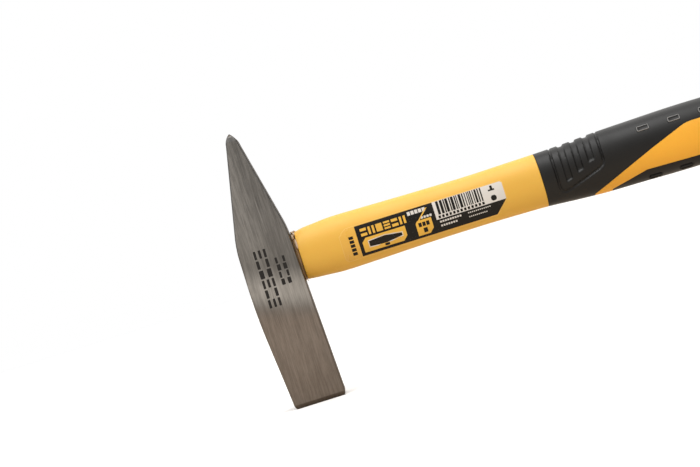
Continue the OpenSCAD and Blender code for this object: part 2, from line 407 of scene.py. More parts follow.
@dataclass(frozen=True)
class HandleForm:
    """The handle's outer shape, as sections joined by a smooth curve.

    Lengths in the station table are millimetres from the handle's axis: place along the
    handle, top, bottom and half width.
    """

    axis: float
    neck: float
    grip: float
    butt: float
    skin: float = 2.4 * MM
    butt_round: float = 5.0 * MM
    squareness: float = 2.35
    within: float = 0.015 * MM

    def stations(self) -> tuple[tuple[float, float, float, float], ...]:
        """The sections that the curve runs through."""
        neck, grip, butt = self.neck / MM, self.grip / MM, round(self.butt / MM, 1)
        return (
            (neck, 11.9, -12.5, 8.6), (20, 12.9, -13.0, 9.2), (27, 13.5, -13.5, 9.7),
            (35, 14.05, -14.05, 10.0), (50, 13.85, -13.9, 9.9), (80, 13.25, -13.25, 9.5),
            (107, 13.0, -13.1, 9.4), (128, 13.3, -13.4, 9.8), (grip, 13.5, -13.8, 10.4),
            (158, 14.0, -15.0, 11.2), (172, 14.8, -15.8, 11.8), (190, 15.3, -16.15, 12.3),
            (215, 15.8, -16.7, 12.6), (238, 15.5, -16.5, 12.4), (258, 14.5, -15.7, 11.7),
            (272, 14.5, -16.1, 11.7), (butt - 6, 15.6, -18.2, 12.2), (butt, 16.0, -19.0, 12.3),
        )

    def reach(self, x: float, column: int) -> float:
        """One column of the station table, on a smooth curve through its rows.

        Args:
            x: Place along the handle, in metres.
            column: 1 for the top, 2 for the bottom, 3 for the half width.

        Returns:
            The distance from the axis, in metres.
        """
        rows = self.stations()
        place = x / MM
        i = max(0, min(len(rows) - 2, sum(1 for row in rows if row[0] <= place) - 1))

        def slope(k: int) -> float:
            """Slope of the curve at a row."""
            a, b = rows[max(k - 1, 0)], rows[min(k + 1, len(rows) - 1)]
            return (b[column] - a[column]) / (b[0] - a[0])

        width = rows[i + 1][0] - rows[i][0]
        u = min((place - rows[i][0]) / width, 1.0)
        return MM * ((2 * u ** 3 - 3 * u ** 2 + 1) * rows[i][column]
                     + (u ** 3 - 2 * u ** 2 + u) * width * slope(i)
                     + (3 * u ** 2 - 2 * u ** 3) * rows[i + 1][column]
                     + (u ** 3 - u ** 2) * width * slope(i + 1))

    def ring(self, x: float, inset: float = 0.0) -> Ring:
        """The section at a place along the handle."""
        top, bottom = self.reach(x, 1), self.reach(x, 2)
        return Ring(x, self.axis + (top + bottom) / 2, self.reach(x, 3) - self.within - inset,
                    (top - bottom) / 2 - self.within - inset)

    def rounded(self, x: float, end: float, inset: float = 0.0) -> Ring:
        """The section at a place, drawn in where the butt rounds off.

        Args:
            x: That place.
            end: Where the rounded butt ends.
            inset: How far the section is moved inwards besides.

        Returns:
            The ring.
        """
        past = max(0.0, x - (end - self.butt_round))
        draw = self.butt_round - math.sqrt(max(0.0, self.butt_round ** 2 - past ** 2))
        return self.ring(x, inset + draw)

    def corner(self, end: float, last: float = 72.0) -> list[float]:
        """Places round the butt's corner, closer together towards its end."""
        return [end - self.butt_round * (1 - math.sin(math.radians(a))) for a in between(0, last, 6)]

    def flank(self, x: float, z: float) -> float:
        """Half width of the handle at a place and a height from its axis.

        Args:
            x: Place along the handle.
            z: Height from the axis.

        Returns:
            The half width there.
        """
        ring = self.ring(x)
        share = abs(self.axis + z - ring.z) / ring.rise
        return ring.half * (1 - share ** self.squareness) ** (1 / self.squareness)

    def lean(self, x: float, z: float) -> float:
        """How far the flank leans from upright at a place and height, as an angle."""
        near = 0.5 * MM
        return math.atan2(self.flank(x, z - near) - self.flank(x, z + near), 2 * near)


# ---------------------------------------------------------------- shader building

Colour = tuple[float, float, float, float]


def feed(tree: bpy.types.NodeTree, socket: bpy.types.NodeSocket, value: object) -> None:
    """Set an input socket to a value, or link it to an output socket.

    Args:
        tree: The tree that holds both.
        socket: The input.
        value: The value or the output socket.
    """
    if isinstance(value, bpy.types.NodeSocket):
        tree.links.new(value, socket)
    else:
        socket.default_value = value


class Tree:
    """A shader node tree, with short calls to add its nodes."""

    def __init__(self, tree: bpy.types.NodeTree) -> None:
        """Start on a tree."""
        self.tree = tree

    def add(self, kind: str, inputs: dict[str | int, object] | None = None,
            **settings: object) -> bpy.types.Node:
        """Add a node, set its properties, and set or link its inputs.

        Args:
            kind: The node's type, without the ShaderNode prefix.
            inputs: Input names or places, each with a value or an output socket to link.
            **settings: The node's own properties.

        Returns:
            The node.
        """
        node = self.tree.nodes.new("ShaderNode" + kind)
        for key, value in settings.items():
            setattr(node, key, value)
        for key, value in (inputs or {}).items():
            feed(self.tree, node.inputs[key], value)
        return node

    def math(self, operation: str, a: object, b: object = 0.0) -> bpy.types.NodeSocket:
        """Add a Math node for two values or sockets, and return its result."""
        return self.add("Math", {0: a, 1: b}, operation=operation).outputs[0]

    def times(self, a: object, b: object) -> bpy.types.NodeSocket:
        """Multiply two values or sockets."""
        return self.math("MULTIPLY", a, b)

    def noise(self, vector: bpy.types.NodeSocket, scale: object, detail: float,
              **inputs: float) -> bpy.types.NodeSocket:
        """Add a noise texture."""
        return self.add("TexNoise", {"Vector": vector, "Scale": scale, "Detail": detail, **inputs}).outputs[0]

    def plug(self, shader: bpy.types.Node, **inputs: object) -> None:
        """Set or link a shader's inputs, with _ for a space in a name."""
        for key, value in inputs.items():
            feed(self.tree, shader.inputs[key.replace("_", " ")], value)

    def raise_surface(self, shader: bpy.types.Node, height: bpy.types.NodeSocket, depth: float,
                      strength: float) -> None:
        """Give a shader a bump."""
        bump = self.add("Bump", {"Height": height, "Distance": depth, "Strength": strength})
        self.plug(shader, Normal=bump.outputs[0])

    def blend(self, factor: object, a: object, b: object, mode: str = "MIX") -> bpy.types.NodeSocket:
        """Mix two colours."""
        node = self.add("Mix", {0: factor, 6: a, 7: b}, data_type="RGBA", blend_type=mode)
        return node.outputs[2]

    def spread(self, value: bpy.types.NodeSocket, low: float, high: float,
               to_low: float = 0.0, to_high: float = 1.0) -> bpy.types.NodeSocket:
        """Map a range of values onto another, smoothly, and clamp it."""
        node = self.add("MapRange", {0: value, 1: low, 2: high, 3: to_low, 4: to_high},
                        interpolation_type="SMOOTHSTEP")
        return node.outputs[0]


class Effect:
    """A shader node group that several finishes share, built once."""

    _made: dict[str, bpy.types.NodeTree] = {}

    @classmethod
    def group(cls, name: str, inputs: dict[str, float | tuple[float, ...]], outputs: Sequence[str],
              fill: Callable[[Tree, bpy.types.Node], dict[str, bpy.types.NodeSocket]]) -> bpy.types.NodeTree:
        """Fetch a group, building it the first time.

        Args:
            name: The group's name.
            inputs: Its inputs and their first values: a number, or three for a vector.
            outputs: The names of its outputs, all numbers.
            fill: Makes the nodes from the tree and its input node, and says what feeds each output.

        Returns:
            The group.
        """
        if name in cls._made:
            return cls._made[name]
        tree = bpy.data.node_groups.new(name, "ShaderNodeTree")
        for key, value in inputs.items():
            kind = "NodeSocketVector" if isinstance(value, tuple) else "NodeSocketFloat"
            socket = tree.interface.new_socket(key, in_out="INPUT", socket_type=kind)
            socket.default_value = value
        for key in outputs:
            tree.interface.new_socket(key, in_out="OUTPUT", socket_type="NodeSocketFloat")
        entry = tree.nodes.new("NodeGroupInput")
        leave = tree.nodes.new("NodeGroupOutput")
        for key, socket in fill(Tree(tree), entry).items():
            tree.links.new(socket, leave.inputs[key])
        cls._made[name] = tree
        return tree

    @staticmethod
    def place(tree: Tree, group: bpy.types.NodeTree, **inputs: object) -> bpy.types.Node:
        """Put a group in a material.

        Args:
            tree: The material's tree.
            group: The group.
            **inputs: Values or sockets for its inputs, with _ for a space in a name.

        Returns:
            The group node.
        """
        node = tree.tree.nodes.new("ShaderNodeGroup")
        node.node_tree = group
        tree.plug(node, **inputs)
        return node


def drawn_grain() -> bpy.types.NodeTree:
    """Fine lines drawn out along one axis: grinding marks, or the rovings of a glass rod."""

    def fill(tree: Tree, entry: bpy.types.Node) -> dict[str, bpy.types.NodeSocket]:
        """Mix a fine and a broad noise, both stretched alike."""
        stretch = tree.add("Mapping", {"Vector": entry.outputs["Vector"],
                                       "Scale": entry.outputs["Stretch"]}).outputs[0]
        fine = tree.noise(stretch, 1.0, 5.0, Roughness=0.62)
        broad = tree.noise(stretch, 0.23, 2.0, Roughness=0.5)
        streak = tree.math("ADD", tree.times(fine, 0.65), tree.times(broad, 0.35))
        return {"Streak": tree.spread(streak, 0.3, 0.7)}

    return Effect.group("drawn_grain", {"Vector": ORIGIN, "Stretch": (1.0, 1.0, 1.0)}, ("Streak",), fill)


def moulded_grain() -> bpy.types.NodeTree:
    """The fine pebbled skin that a spark-eroded mould leaves."""

    def fill(tree: Tree, entry: bpy.types.Node) -> dict[str, bpy.types.NodeSocket]:
        """Mix pebbles and dust for the height, and a slow wave for the tone."""
        vector, scale = entry.outputs["Vector"], entry.outputs["Scale"]
        pebble = tree.add("TexVoronoi", {"Vector": vector, "Scale": scale}).outputs["Distance"]
        dust = tree.noise(vector, tree.times(scale, 2.1), 3.0)
        wave = tree.noise(vector, tree.times(scale, 0.02), 2.0)
        height = tree.math("ADD", tree.times(pebble, 0.7), tree.times(dust, 0.5))
        return {"Height": height, "Tone": tree.spread(wave, 0.3, 0.7)}

    return Effect.group("moulded_grain", {"Vector": ORIGIN, "Scale": 1500.0}, ("Height", "Tone"), fill)


def handling() -> bpy.types.NodeTree:
    """Marks of use: soft smudges of grease, and specks of dust."""

    def fill(tree: Tree, entry: bpy.types.Node) -> dict[str, bpy.types.NodeSocket]:
        """Cut one noise into clouds and a finer one into specks."""
        vector, scale = entry.outputs["Vector"], entry.outputs["Scale"]
        cloud = tree.noise(vector, scale, 4.0, Roughness=0.55, Distortion=0.6)
        speck = tree.noise(vector, tree.times(scale, 32.0), 1.0)
        return {"Smudge": tree.spread(cloud, 0.42, 0.68), "Speck": tree.spread(speck, 0.7, 0.78)}

    return Effect.group("handling", {"Vector": ORIGIN, "Scale": 30.0}, ("Smudge", "Speck"), fill)


def rim_highlight_and_wear_mask() -> bpy.types.NodeTree:
    """The sharp outer edges, broken up by noise: rubbed steel on the head, and a painted highlight on the
    studs' rims.
    """

    def fill(tree: Tree, entry: bpy.types.Node) -> dict[str, bpy.types.NodeSocket]:
        """Find the sharp edges and break them up."""
        edge = tree.add("NewGeometry").outputs["Pointiness"]
        chips = tree.noise(entry.outputs["Vector"], entry.outputs["Breakup"], 4.0)
        rub = tree.math("ADD", edge, tree.times(tree.math("SUBTRACT", chips, 0.5), 0.06))
        return {"Mask": tree.spread(rub, 0.515, 0.56)}

    return Effect.group("rim_highlight_and_wear_mask", {"Vector": ORIGIN, "Breakup": 700.0}, ("Mask",), fill)


@dataclass(frozen=True)
class Finish:
    """What every finish starts from: a colour and how it shines.

    Colours are linear red, green and blue.
    """

    name: str
    colour: tuple[float, float, float]
    roughness: float

    def start(self) -> tuple[bpy.types.Material, Tree, bpy.types.Node, bpy.types.NodeSocket]:
        """Make the material with its shader.

        Returns:
            The material, its tree, its Principled BSDF and the object coordinates.
        """
        material = bpy.data.materials.new(self.name)
        material.use_nodes = True
        tree = Tree(material.node_tree)
        shader = material.node_tree.nodes["Principled BSDF"]
        shader.inputs["Base Color"].default_value = (*self.colour, 1.0)
        shader.inputs["Roughness"].default_value = self.roughness
        return material, tree, shader, tree.add("TexCoord").outputs["Object"]

    def tone(self, by: float) -> Colour:
        """The finish's colour, lighter or darker."""
        return (*[min(1.0, c * by) for c in self.colour], 1.0)


@dataclass(frozen=True)
class GroundSteel(Finish):
    """Forged steel ground along the head, with painted reflections and shade on its cheek, dark forged skin
    off it, and a film of oil.
    """

    axis: float = 0.0
    tip: float = 0.0
    half_depth: float = 0.0
    # Painted reflection: a warm tint low on the cheek stands for the floor seen in the steel.
    warm: Colour = (0.285, 0.238, 0.203, 1.0)
    # Dark forged skin on the flanks and the blade's edge; also laid on as painted shade low on the cheek and
    # on the face's chamfer.
    forged_skin_and_shade: Colour = (0.095, 0.08, 0.067, 1.0)
    edge_rub_and_highlight: Colour = (0.5, 0.49, 0.47, 1.0)
    glancing: Colour = (0.5, 0.48, 0.46, 1.0)
    fine_lines: tuple[float, float, float] = (3600.0, 3600.0, 150.0)
    coarse_lines: tuple[float, float, float] = (1100.0, 1100.0, 28.0)
    # Where the cheek's lighter outer half ends, with a painted highlight along that line, and where the
    # bright painted reflection band runs.
    ridge_x: float = 3.5 * MM
    ridge_z: float = 12.0 * MM
    ridge_lean: float = 0.048
    band_drop: float = 13.0 * MM
    band_lean: float = 0.27

    def patches(self, tree: Tree, place: bpy.types.Node) -> list[tuple[bpy.types.NodeSocket, float, Colour]]:
        """The painted reflections and shade on the cheek, and the dark forged skin off it.

        Args:
            tree: The material's tree.
            place: The node that splits the object coordinates.

        Returns:
            For each patch its mask, how much of it shows, and its colour.
        """
        x, z = place.outputs["X"], place.outputs["Z"]
        axis, middle, top, depth = self.axis, self.axis - self.band_drop, self.tip, self.half_depth
        ridge = tree.math("ADD", tree.math("SUBTRACT", x, self.ridge_x),
                          tree.times(tree.math("SUBTRACT", z, axis + self.ridge_z), self.ridge_lean))
        outer = tree.times(tree.spread(ridge, -7.5 * MM, 0.8 * MM, 1.0, 0.0),
                           tree.spread(z, axis - 8 * MM, axis + 14 * MM))
        line = tree.times(tree.spread(tree.math("ABSOLUTE", ridge), 0.1 * MM, 0.45 * MM, 1.0, 0.0),
                          tree.times(tree.spread(z, axis + 14 * MM, axis + 18 * MM),
                                     tree.spread(z, axis + 30 * MM, axis + 36 * MM, 1.0, 0.0)))
        lean = tree.math("ADD", z, tree.times(x, self.band_lean))
        band = tree.times(tree.spread(lean, middle - 13 * MM, middle - 1 * MM),
                          tree.spread(lean, middle + 1 * MM, middle + 14 * MM, 1.0, 0.0))
        side = tree.spread(tree.math("ABSOLUTE", place.outputs["Y"]), depth - 0.7 * MM, depth - 0.06 * MM,
                           1.0, 0.0)
        face = tree.spread(z, 1.7 * MM, 2.5 * MM, 1.0, 0.0)
        return [
            # Painted light: the lighter outer half of the cheek, a painted highlight along its inner line,
            # and a bright painted reflection band.
            (outer, 0.62, self.tone(1.6)), (line, 0.4, self.tone(1.9)), (band, 0.9, self.tone(2.2)),
            # Painted reflection of the warm floor, under the bright band.
            (tree.spread(lean, middle - 17 * MM, middle - 4 * MM, 1.0, 0.0), 0.75, self.warm),
            # Darker towards the blade's tip, and dark forged skin on its edge.
            (tree.spread(z, top - 4.4 * MM, top - 3.4 * MM), 0.2, self.tone(0.5)),
            (tree.spread(z, top - 1.6 * MM, top - 0.4 * MM), 0.8, self.forged_skin_and_shade),
            # Painted shade: the cheek darkens towards the striking face, standing for the dim floor seen in
            # the steel.
            (tree.spread(z, 1 * MM, 34 * MM, 1.0, 0.0), 0.26, self.forged_skin_and_shade),
            # Dark forged skin off the cheek; on the face's chamfer the same dark is painted shade, as the
            # chamfer faces the floor.
            (tree.math("MAXIMUM", side, face), 0.85, self.forged_skin_and_shade),
        ]

    def build(self) -> bpy.types.Material:
        """Make the material."""
        material, tree, shader, place = self.start()
        fine = Effect.place(tree, drawn_grain(), Vector=place, Stretch=self.fine_lines).outputs["Streak"]
        coarse = Effect.place(tree, drawn_grain(), Vector=place, Stretch=self.coarse_lines).outputs["Streak"]
        smudge = Effect.place(tree, handling(), Vector=place, Scale=34.0).outputs["Smudge"]
        edge = Effect.place(tree, rim_highlight_and_wear_mask(), Vector=place, Breakup=500.0).outputs["Mask"]
        base = tree.add("RGB").outputs[0]
        base.default_value = self.tone(1.0)
        for mask, share, colour in self.patches(tree, tree.add("SeparateXYZ", {0: place})):
            base = tree.blend(tree.times(mask, share), base, colour)
        shade = tree.times(tree.spread(fine, 0.0, 1.0, 0.82, 1.17), tree.spread(coarse, 0.0, 1.0, 1.04, 0.95))
        shade = tree.times(shade, tree.spread(smudge, 0.0, 1.0, 1.02, 0.93))
        grey = tree.add("CombineColor", {0: shade, 1: shade, 2: shade}).outputs[0]
        base = tree.blend(1.0, base, grey, "MULTIPLY")
        base = tree.blend(tree.times(edge, 0.06), base, self.edge_rub_and_highlight)
        rough = tree.spread(fine, 0.0, 1.0, self.roughness - 0.05, self.roughness + 0.07)
        tree.raise_surface(shader, tree.math("ADD", fine, tree.times(coarse, 1.3)), 0.008 * MM, 0.28)
        tree.plug(shader, Base_Color=base, Roughness=tree.math("ADD", rough, tree.times(smudge, 0.05)),
                  Metallic=1.0, Specular_Tint=self.glancing)
        return material


@dataclass(frozen=True)
class MouldedPlastic(Finish):
    """Injection-moulded plastic or rubber: its gloss, its grain, and how light sinks into it."""

    grain: float = 1500.0
    relief_strength: float = 0.25
    depth: float = 0.0
    variation: float = 0.06
    soil: float = 0.1
    specular: float = 0.5
    # How much the outer edges are lightened: a painted highlight, used for the studs' bright rims.
    edge_rub_and_highlight: float = 0.0

    def build(self) -> bpy.types.Material:
        """Make the material."""
        material, tree, shader, place = self.start()
        skin = Effect.place(tree, moulded_grain(), Vector=place, Scale=self.grain).outputs
        smudge = Effect.place(tree, handling(), Vector=place, Scale=26.0).outputs["Smudge"]
        base = tree.blend(skin["Tone"], self.tone(1.0 - self.variation), self.tone(1.0 + self.variation))
        base = tree.blend(tree.times(smudge, self.soil), base, self.tone(0.72))
        # Painted highlight: the outer edges turn light grey, as the studs' rims catching the light.
        if self.edge_rub_and_highlight:
            edge = Effect.place(tree, rim_highlight_and_wear_mask(), Vector=place, Breakup=900.0).outputs["Mask"]
            base = tree.blend(tree.times(edge, self.edge_rub_and_highlight), base, (0.5, 0.5, 0.5, 1.0))
        rough = tree.spread(smudge, 0.0, 1.0, self.roughness, self.roughness + 0.09)
        tree.raise_surface(shader, skin["Height"], 0.02 * MM, self.relief_strength)
        tree.plug(shader, Base_Color=base, Roughness=tree.math("ADD", rough, tree.times(skin["Tone"], 0.03)),
                  Subsurface_Weight=self.depth, Subsurface_Radius=(1.0, 0.5, 0.15),
                  Subsurface_Scale=2.0 * MM, Specular_IOR_Level=self.specular)
        return material


@dataclass(frozen=True)
class GlassFibre(Finish):
    """Pultruded rod: amber resin over rovings that run along it."""

    strands: tuple[float, float, float] = (25.0, 1800.0, 1800.0)

    def build(self) -> bpy.types.Material:
        """Make the material."""
        material, tree, shader, place = self.start()
        strand = Effect.place(tree, drawn_grain(), Vector=place, Stretch=self.strands).outputs["Streak"]
        smudge = Effect.place(tree, handling(), Vector=place, Scale=40.0).outputs["Smudge"]
        base = tree.blend(strand, self.tone(0.7), self.tone(1.15))
        base = tree.blend(tree.times(smudge, 0.2), base, self.tone(0.8))
        tree.raise_surface(shader, strand, 0.03 * MM, 0.4)
        tree.plug(shader, Base_Color=base,
                  Roughness=tree.spread(strand, 0.0, 1.0, self.roughness, self.roughness + 0.15))
        return material


@dataclass(frozen=True)
class PrintInk(Finish):
    """Ink or bare film under a clear laminate, with the dots and scuffs of a printed label."""

    scuff: float = 0.15
    specular: float = 0.3

    def build(self) -> bpy.types.Material:
        """Make the material."""
        material, tree, shader, place = self.start()
        marks = Effect.place(tree, handling(), Vector=place, Scale=60.0).outputs
        dots = Effect.place(tree, moulded_grain(), Vector=place, Scale=2600.0).outputs
        base = tree.blend(dots["Tone"], self.tone(0.94), self.tone(1.05))
        base = tree.blend(tree.times(marks["Smudge"], self.scuff), base, self.tone(1.25))
        base = tree.blend(tree.times(marks["Speck"], 0.15), base, (0.5, 0.5, 0.48, 1.0))
        rough = tree.spread(marks["Smudge"], 0.0, 1.0, self.roughness, self.roughness + 0.12)
        tree.raise_surface(shader, dots["Height"], 0.01 * MM, 0.12)
        tree.plug(shader, Base_Color=base, Roughness=rough, Coat_Weight=0.08, Coat_Roughness=0.12,
                  Specular_IOR_Level=self.specular)
        return material


# ---------------------------------------------------------------- the head

@dataclass
class HammerHead:
    """The forging, ground on its cheeks, with a tapered eye and a chisel blade."""

    axis: float
    height: float
    half_depth: float
    half_body: float = 13.7 * MM
    face_break: float = 2.2 * MM
    edge_half: float = 3.1 * MM
    edge_height: float = 5.2 * MM
    shoulder: float = 60.0 * MM
    back_round: float = 300.0 * MM
    corner: float = 0.9 * MM
    facet: float = math.radians(1.5)
    mark_lift: float = 0.02 * MM
    mark_share: float = 0.84

    def flank_angle(self) -> float:
        """The blade's half angle."""
        rise = self.height - self.edge_height - self.axis - 14 * MM
        return math.atan((self.half_body - self.edge_half) / rise)

    def foot(self, *places: float) -> list[tuple[float, float]]:
        """The broken edge at the striking face, as (height, X), from four places in millimetres."""
        return [(z, x * MM) for z, x in zip((0.0, 0.5 * MM, 1.3 * MM, self.face_break), places)]

    def nose(self) -> list[tuple[float, float]]:
        """The blunt point of the blade, as (height, half width)."""
        blade = self.height - self.edge_height
        steps = [i / 12 for i in range(12)]
        points = [(blade + self.edge_height * t, self.edge_half * (1 - t ** 1.6) ** 0.75) for t in steps]
        return points + [(self.height - 0.12 * MM, 0.42 * MM), (self.height, 0.2 * MM)]

    def front(self) -> list[tuple[float, float]]:
        """The handle side of the outline, as (height, X) from the face to the edge."""
        centre = (self.half_body - self.shoulder + 0.1 * MM, self.axis + 8 * MM)
        turn = [(centre[1] + self.shoulder * math.sin(a), centre[0] + self.shoulder * math.cos(a))
                for a in between(self.facet, self.flank_angle(), self.facet)]
        return [*self.foot(16.2, 16.65, 16.92, 17.0), *turn, *self.nose()]

    def back(self) -> list[tuple[float, float]]:
        """The outer side of the outline, as (height, X) from the face to the edge."""
        round_z = self.axis - 8 * MM
        low = [(round_z - self.back_round * math.sin(a),
                -self.half_body + self.back_round * (1 - math.cos(a)))
               for a in between(math.radians(5.2), 0.0, math.radians(0.9))]
        centre = (-self.half_body + self.shoulder, self.axis + 6 * MM)
        turn = [(centre[1] + self.shoulder * math.sin(a), centre[0] - self.shoulder * math.cos(a))
                for a in between(0.0, self.flank_angle(), self.facet)]
        return [*self.foot(-8.0, -8.55, -8.98, -9.2), *low, *turn, *[(z, -x) for z, x in self.nose()]]

    def depth(self) -> list[tuple[float, float]]:
        """Half depth against height, with the chamfers at the face and at the blade's edge."""
        blade = [(self.height - down * MM, self.half_depth - inwards * MM)
                 for down, inwards in ((3.8, 0.0), (1.7, 0.22), (0.6, 0.6), (0.0, 1.4))]
        return [(0.0, self.half_depth - 1.0 * MM), (self.face_break, self.half_depth), *blade]

    def forge(self) -> Bench:
        """Extrude a rounded rectangle up through the head's stations."""
        back, front, depth = self.back(), self.front(), self.depth()
        heights = sorted({round(z, 7) for z, _ in back + front + depth})
        stations = [(z, level_at(back, z), level_at(front, z), level_at(depth, z)) for z in heights]
        clear_bench()
        z, left, right, half = stations[0]
        bpy.ops.mesh.primitive_plane_add(size=1.0, location=((left + right) / 2, 0.0, z))
        head = Bench("hammer_head")
        head.pick_all()
        bpy.ops.transform.resize(value=(right - left, 2 * half, 1.0),
                                 center_override=((left + right) / 2, 0, z))
        bpy.ops.mesh.select_mode(type=Part.VERT.value)
        bpy.ops.mesh.bevel(affect="VERTICES", offset=self.corner, segments=4)
        for last, station in zip(stations, stations[1:]):
            level = last[0]
            head.pick(Part.FACE, lambda p: abs(p.z - level) < CLOSE)
            bpy.ops.mesh.extrude_region_move(
                TRANSFORM_OT_translate={"value": (0.0, 0.0, station[0] - level)})
            self.fit(head, last, station)
        head.face_out()
        return head

    def fit(self, head: Bench, last: tuple[float, float, float, float],
            station: tuple[float, float, float, float]) -> None:
        """Fit the ring that was extruded last to its station, with its corners kept as they are.

        Args:
            head: The forging.
            last: Height, left end, right end and half depth that the ring has.
            station: The same that it gets.
        """
        middle = (last[1] + last[2]) / 2
        bpy.ops.transform.resize(value=(1.0, station[3] / last[3], 1.0))
        if station[2] - station[1] < 2.4 * self.corner:
            bpy.ops.transform.resize(value=((station[2] - station[1]) / (last[2] - last[1]), 1.0, 1.0),
                                     center_override=(middle, 0.0, station[0]))
            bpy.ops.transform.translate(value=((station[1] + station[2]) / 2 - middle, 0.0, 0.0))
            return
        for sign, move in ((-1, station[1] - last[1]), (1, station[2] - last[2])):
            head.pick(Part.VERT, lambda p: abs(p.z - station[0]) < CLOSE and (p.x - middle) * sign > 0)
            bpy.ops.transform.translate(value=(move, 0.0, 0.0))

    def eye_tool(self) -> Bench:
        """The punch that cuts the tapered eye, flared where it breaks both mouths."""
        mouth, bore = Ring(0.0, self.axis, 8.0 * MM, 12.0 * MM), Ring(0.0, self.axis, 6.5 * MM, 10.5 * MM)
        left, right = -self.half_body, self.half_body
        steps = ((mouth, 2.2, left - 1.0 * MM), (mouth, 0.0, left + 1.2 * MM), (bore, 0.0, right - 0.6 * MM),
                 (bore, 2.0, right + 1.4 * MM), (bore, 2.0, right + 4 * MM))
        return sweep("eye_tool", [ring.grown(by * MM, x) for ring, by, x in steps], 64, EYE_SQUARENESS)

    def build(self) -> Bench:
        """Forge the head, break its edges and punch its eye."""
        head = self.forge()
        head.cut(self.eye_tool(), Cut.REMOVE)
        head.smooth(30)
        head.apply("WEIGHTED_NORMAL", keep_sharp=True)
        return head

    def stamp(self, name: str, left: float, right: float, top: float, bottom: float,
              pattern: Sequence[tuple[tuple[float, float], ...]]) -> Bench:
        """Etch a row of plain block marks on the cheek, reading up the head.

        Args:
            name: The piece's name.
            left: Lowest X of the row.
            right: Highest X of the row.
            top: Height of its upper end.
            bottom: Height of its lower end.
            pattern: For each block, the shares of its width that are filled, as (from, to).

        Returns:
            The marks, as thin plates on the cheek.
        """
        pitch = (top - bottom) / len(pattern)
        plates: list[Bench] = []
        for i, fills in enumerate(pattern):
            high = top - i * pitch
            low = high - self.mark_share * pitch
            for a, b in fills:
                x0, x1 = left + (right - left) * a, left + (right - left) * b
                clear_bench()
                bpy.ops.mesh.primitive_cube_add(
                    size=1.0, location=((x0 + x1) / 2, -self.half_depth, (high + low) / 2),
                    scale=(x1 - x0, 2 * self.mark_lift, high - low))
                plate = Bench(name)
                plate.pick(Part.EDGE, lambda p: abs(p.y + self.half_depth) < CLOSE)
                bpy.ops.mesh.bevel(affect="EDGES", offset=0.25 * MM, segments=2)
                plates.append(plate)
        marks = Bench.joined(name, plates)
        marks.face_out()
        return marks


# ---------------------------------------------------------------- bond and core

@dataclass
class EyeBond:
    """The resin that fills the eye round the core, with the bead squeezed out at the neck."""

    form: HandleForm
    outer: float
    head_side: float
    core_half: float = 4.45 * MM
    core_rise: float = 8.45 * MM
    cap: float = 2.0 * MM

    def build(self) -> Bench:
        """Sweep the plug from its cap at the outer mouth to the bead, then back along the core."""
        axis, neck = self.form.axis, self.form.neck
        cap_x = self.outer + 1.0 * MM
        mouth, bore = Ring(cap_x, axis, 7.9 * MM, 11.9 * MM), Ring(0, axis, 6.45 * MM, 10.45 * MM)
        core, side = Ring(0, axis, self.core_half, self.core_rise), self.head_side
        steps = (
            (mouth, -3.0, cap_x + 0.25 * MM), (mouth, -1.0, cap_x + 0.1 * MM), (mouth, -0.3, cap_x),
            (mouth, 0.0, cap_x - 0.25 * MM), (mouth, 0.0, cap_x + 0.4 * MM), (bore, 0.0, side - 1.0 * MM),
            (bore, 1.3, side - 0.1 * MM), (bore, 1.75, side + 0.3 * MM), (bore, 1.95, side + 0.9 * MM),
            (bore, 1.6, neck - 0.55 * MM), (bore, 0.9, neck - 0.25 * MM), (bore, 0.5, neck - 0.02 * MM),
            (core, 0.0, neck - 0.02 * MM), (core, 0.0, cap_x + self.cap))
        bond = sweep("eye_resin", [ring.grown(by * MM, x) for ring, by, x in steps], 96, EYE_SQUARENESS)
        bond.pick(Part.VERT, lambda p: self.head_side < p.x < neck - 0.1 * MM
                  and abs(p.z - axis) + abs(p.y) > 8 * MM)
        bpy.ops.transform.vertex_random(offset=0.22 * MM, uniform=0.6, normal=0.4, seed=5)
        bpy.ops.mesh.vertices_smooth(factor=0.5, repeat=2)
        bond.smooth(40)
        return bond

    def flash(self) -> Bench:
        """The crumbs of resin that were squeezed out over the jacket, one of them a pale painted highlight,
        and the drip under it.

        A crumb's six lengths are millimetres: its place from the neck and its half sizes.
        """
        crumbs = (
            (-0.9, 4.6, 11.5, 1.0, 1.9, 0.8), (0.1, 1.9, 12.3, 0.9, 1.6, 0.6),
            (-1.1, -2.0, 12.2, 0.8, 2.0, 0.6), (-0.3, -5.2, 11.1, 0.7, 1.2, 0.9),
            # The upright pale crumb on the near flank, at (-0.25, -8.15, 6.0), stands for a highlight on the
            # jacket's lip: painted highlight.
            (-1.2, -6.6, 9.8, 0.6, 0.7, 1.3), (-0.25, -8.15, 6.0, 0.6, 0.4, 2.6),
            (-0.9, -2.4, -12.4, 0.7, 1.4, 0.6), (-0.6, 3.4, -12.0, 0.6, 1.7, 0.7),
            (-1.0, 7.7, 2.0, 0.6, 0.5, 2.0))
        parts: list[Bench] = []
        for x, y, z, length, width, rise in crumbs:
            clear_bench()
            bpy.ops.mesh.primitive_uv_sphere_add(
                segments=16, ring_count=10, radius=MM, scale=(length, width, rise),
                location=(self.form.neck + x * MM, y * MM, self.form.axis + z * MM))
            parts.append(Bench("crumb"))
        clear_bench()
        bpy.ops.mesh.primitive_cone_add(
            vertices=16, radius1=0.55 * MM, radius2=0.08 * MM, depth=1.9 * MM, rotation=(math.pi, 0.0, 0.0),
            location=(self.form.neck + 0.1 * MM, -1.5 * MM, self.form.axis - 13.1 * MM))
        parts.append(Bench("drip"))
        flash = Bench.joined("resin_flash", parts)
        flash.pick_all(Part.VERT)
        bpy.ops.transform.vertex_random(offset=0.1 * MM, uniform=0.7, normal=0.3, seed=9)
        bpy.ops.mesh.vertices_smooth(factor=0.5, repeat=3)
        flash.face_out()
        flash.smooth(50)
        return flash


# ---------------------------------------------------------------- the handle

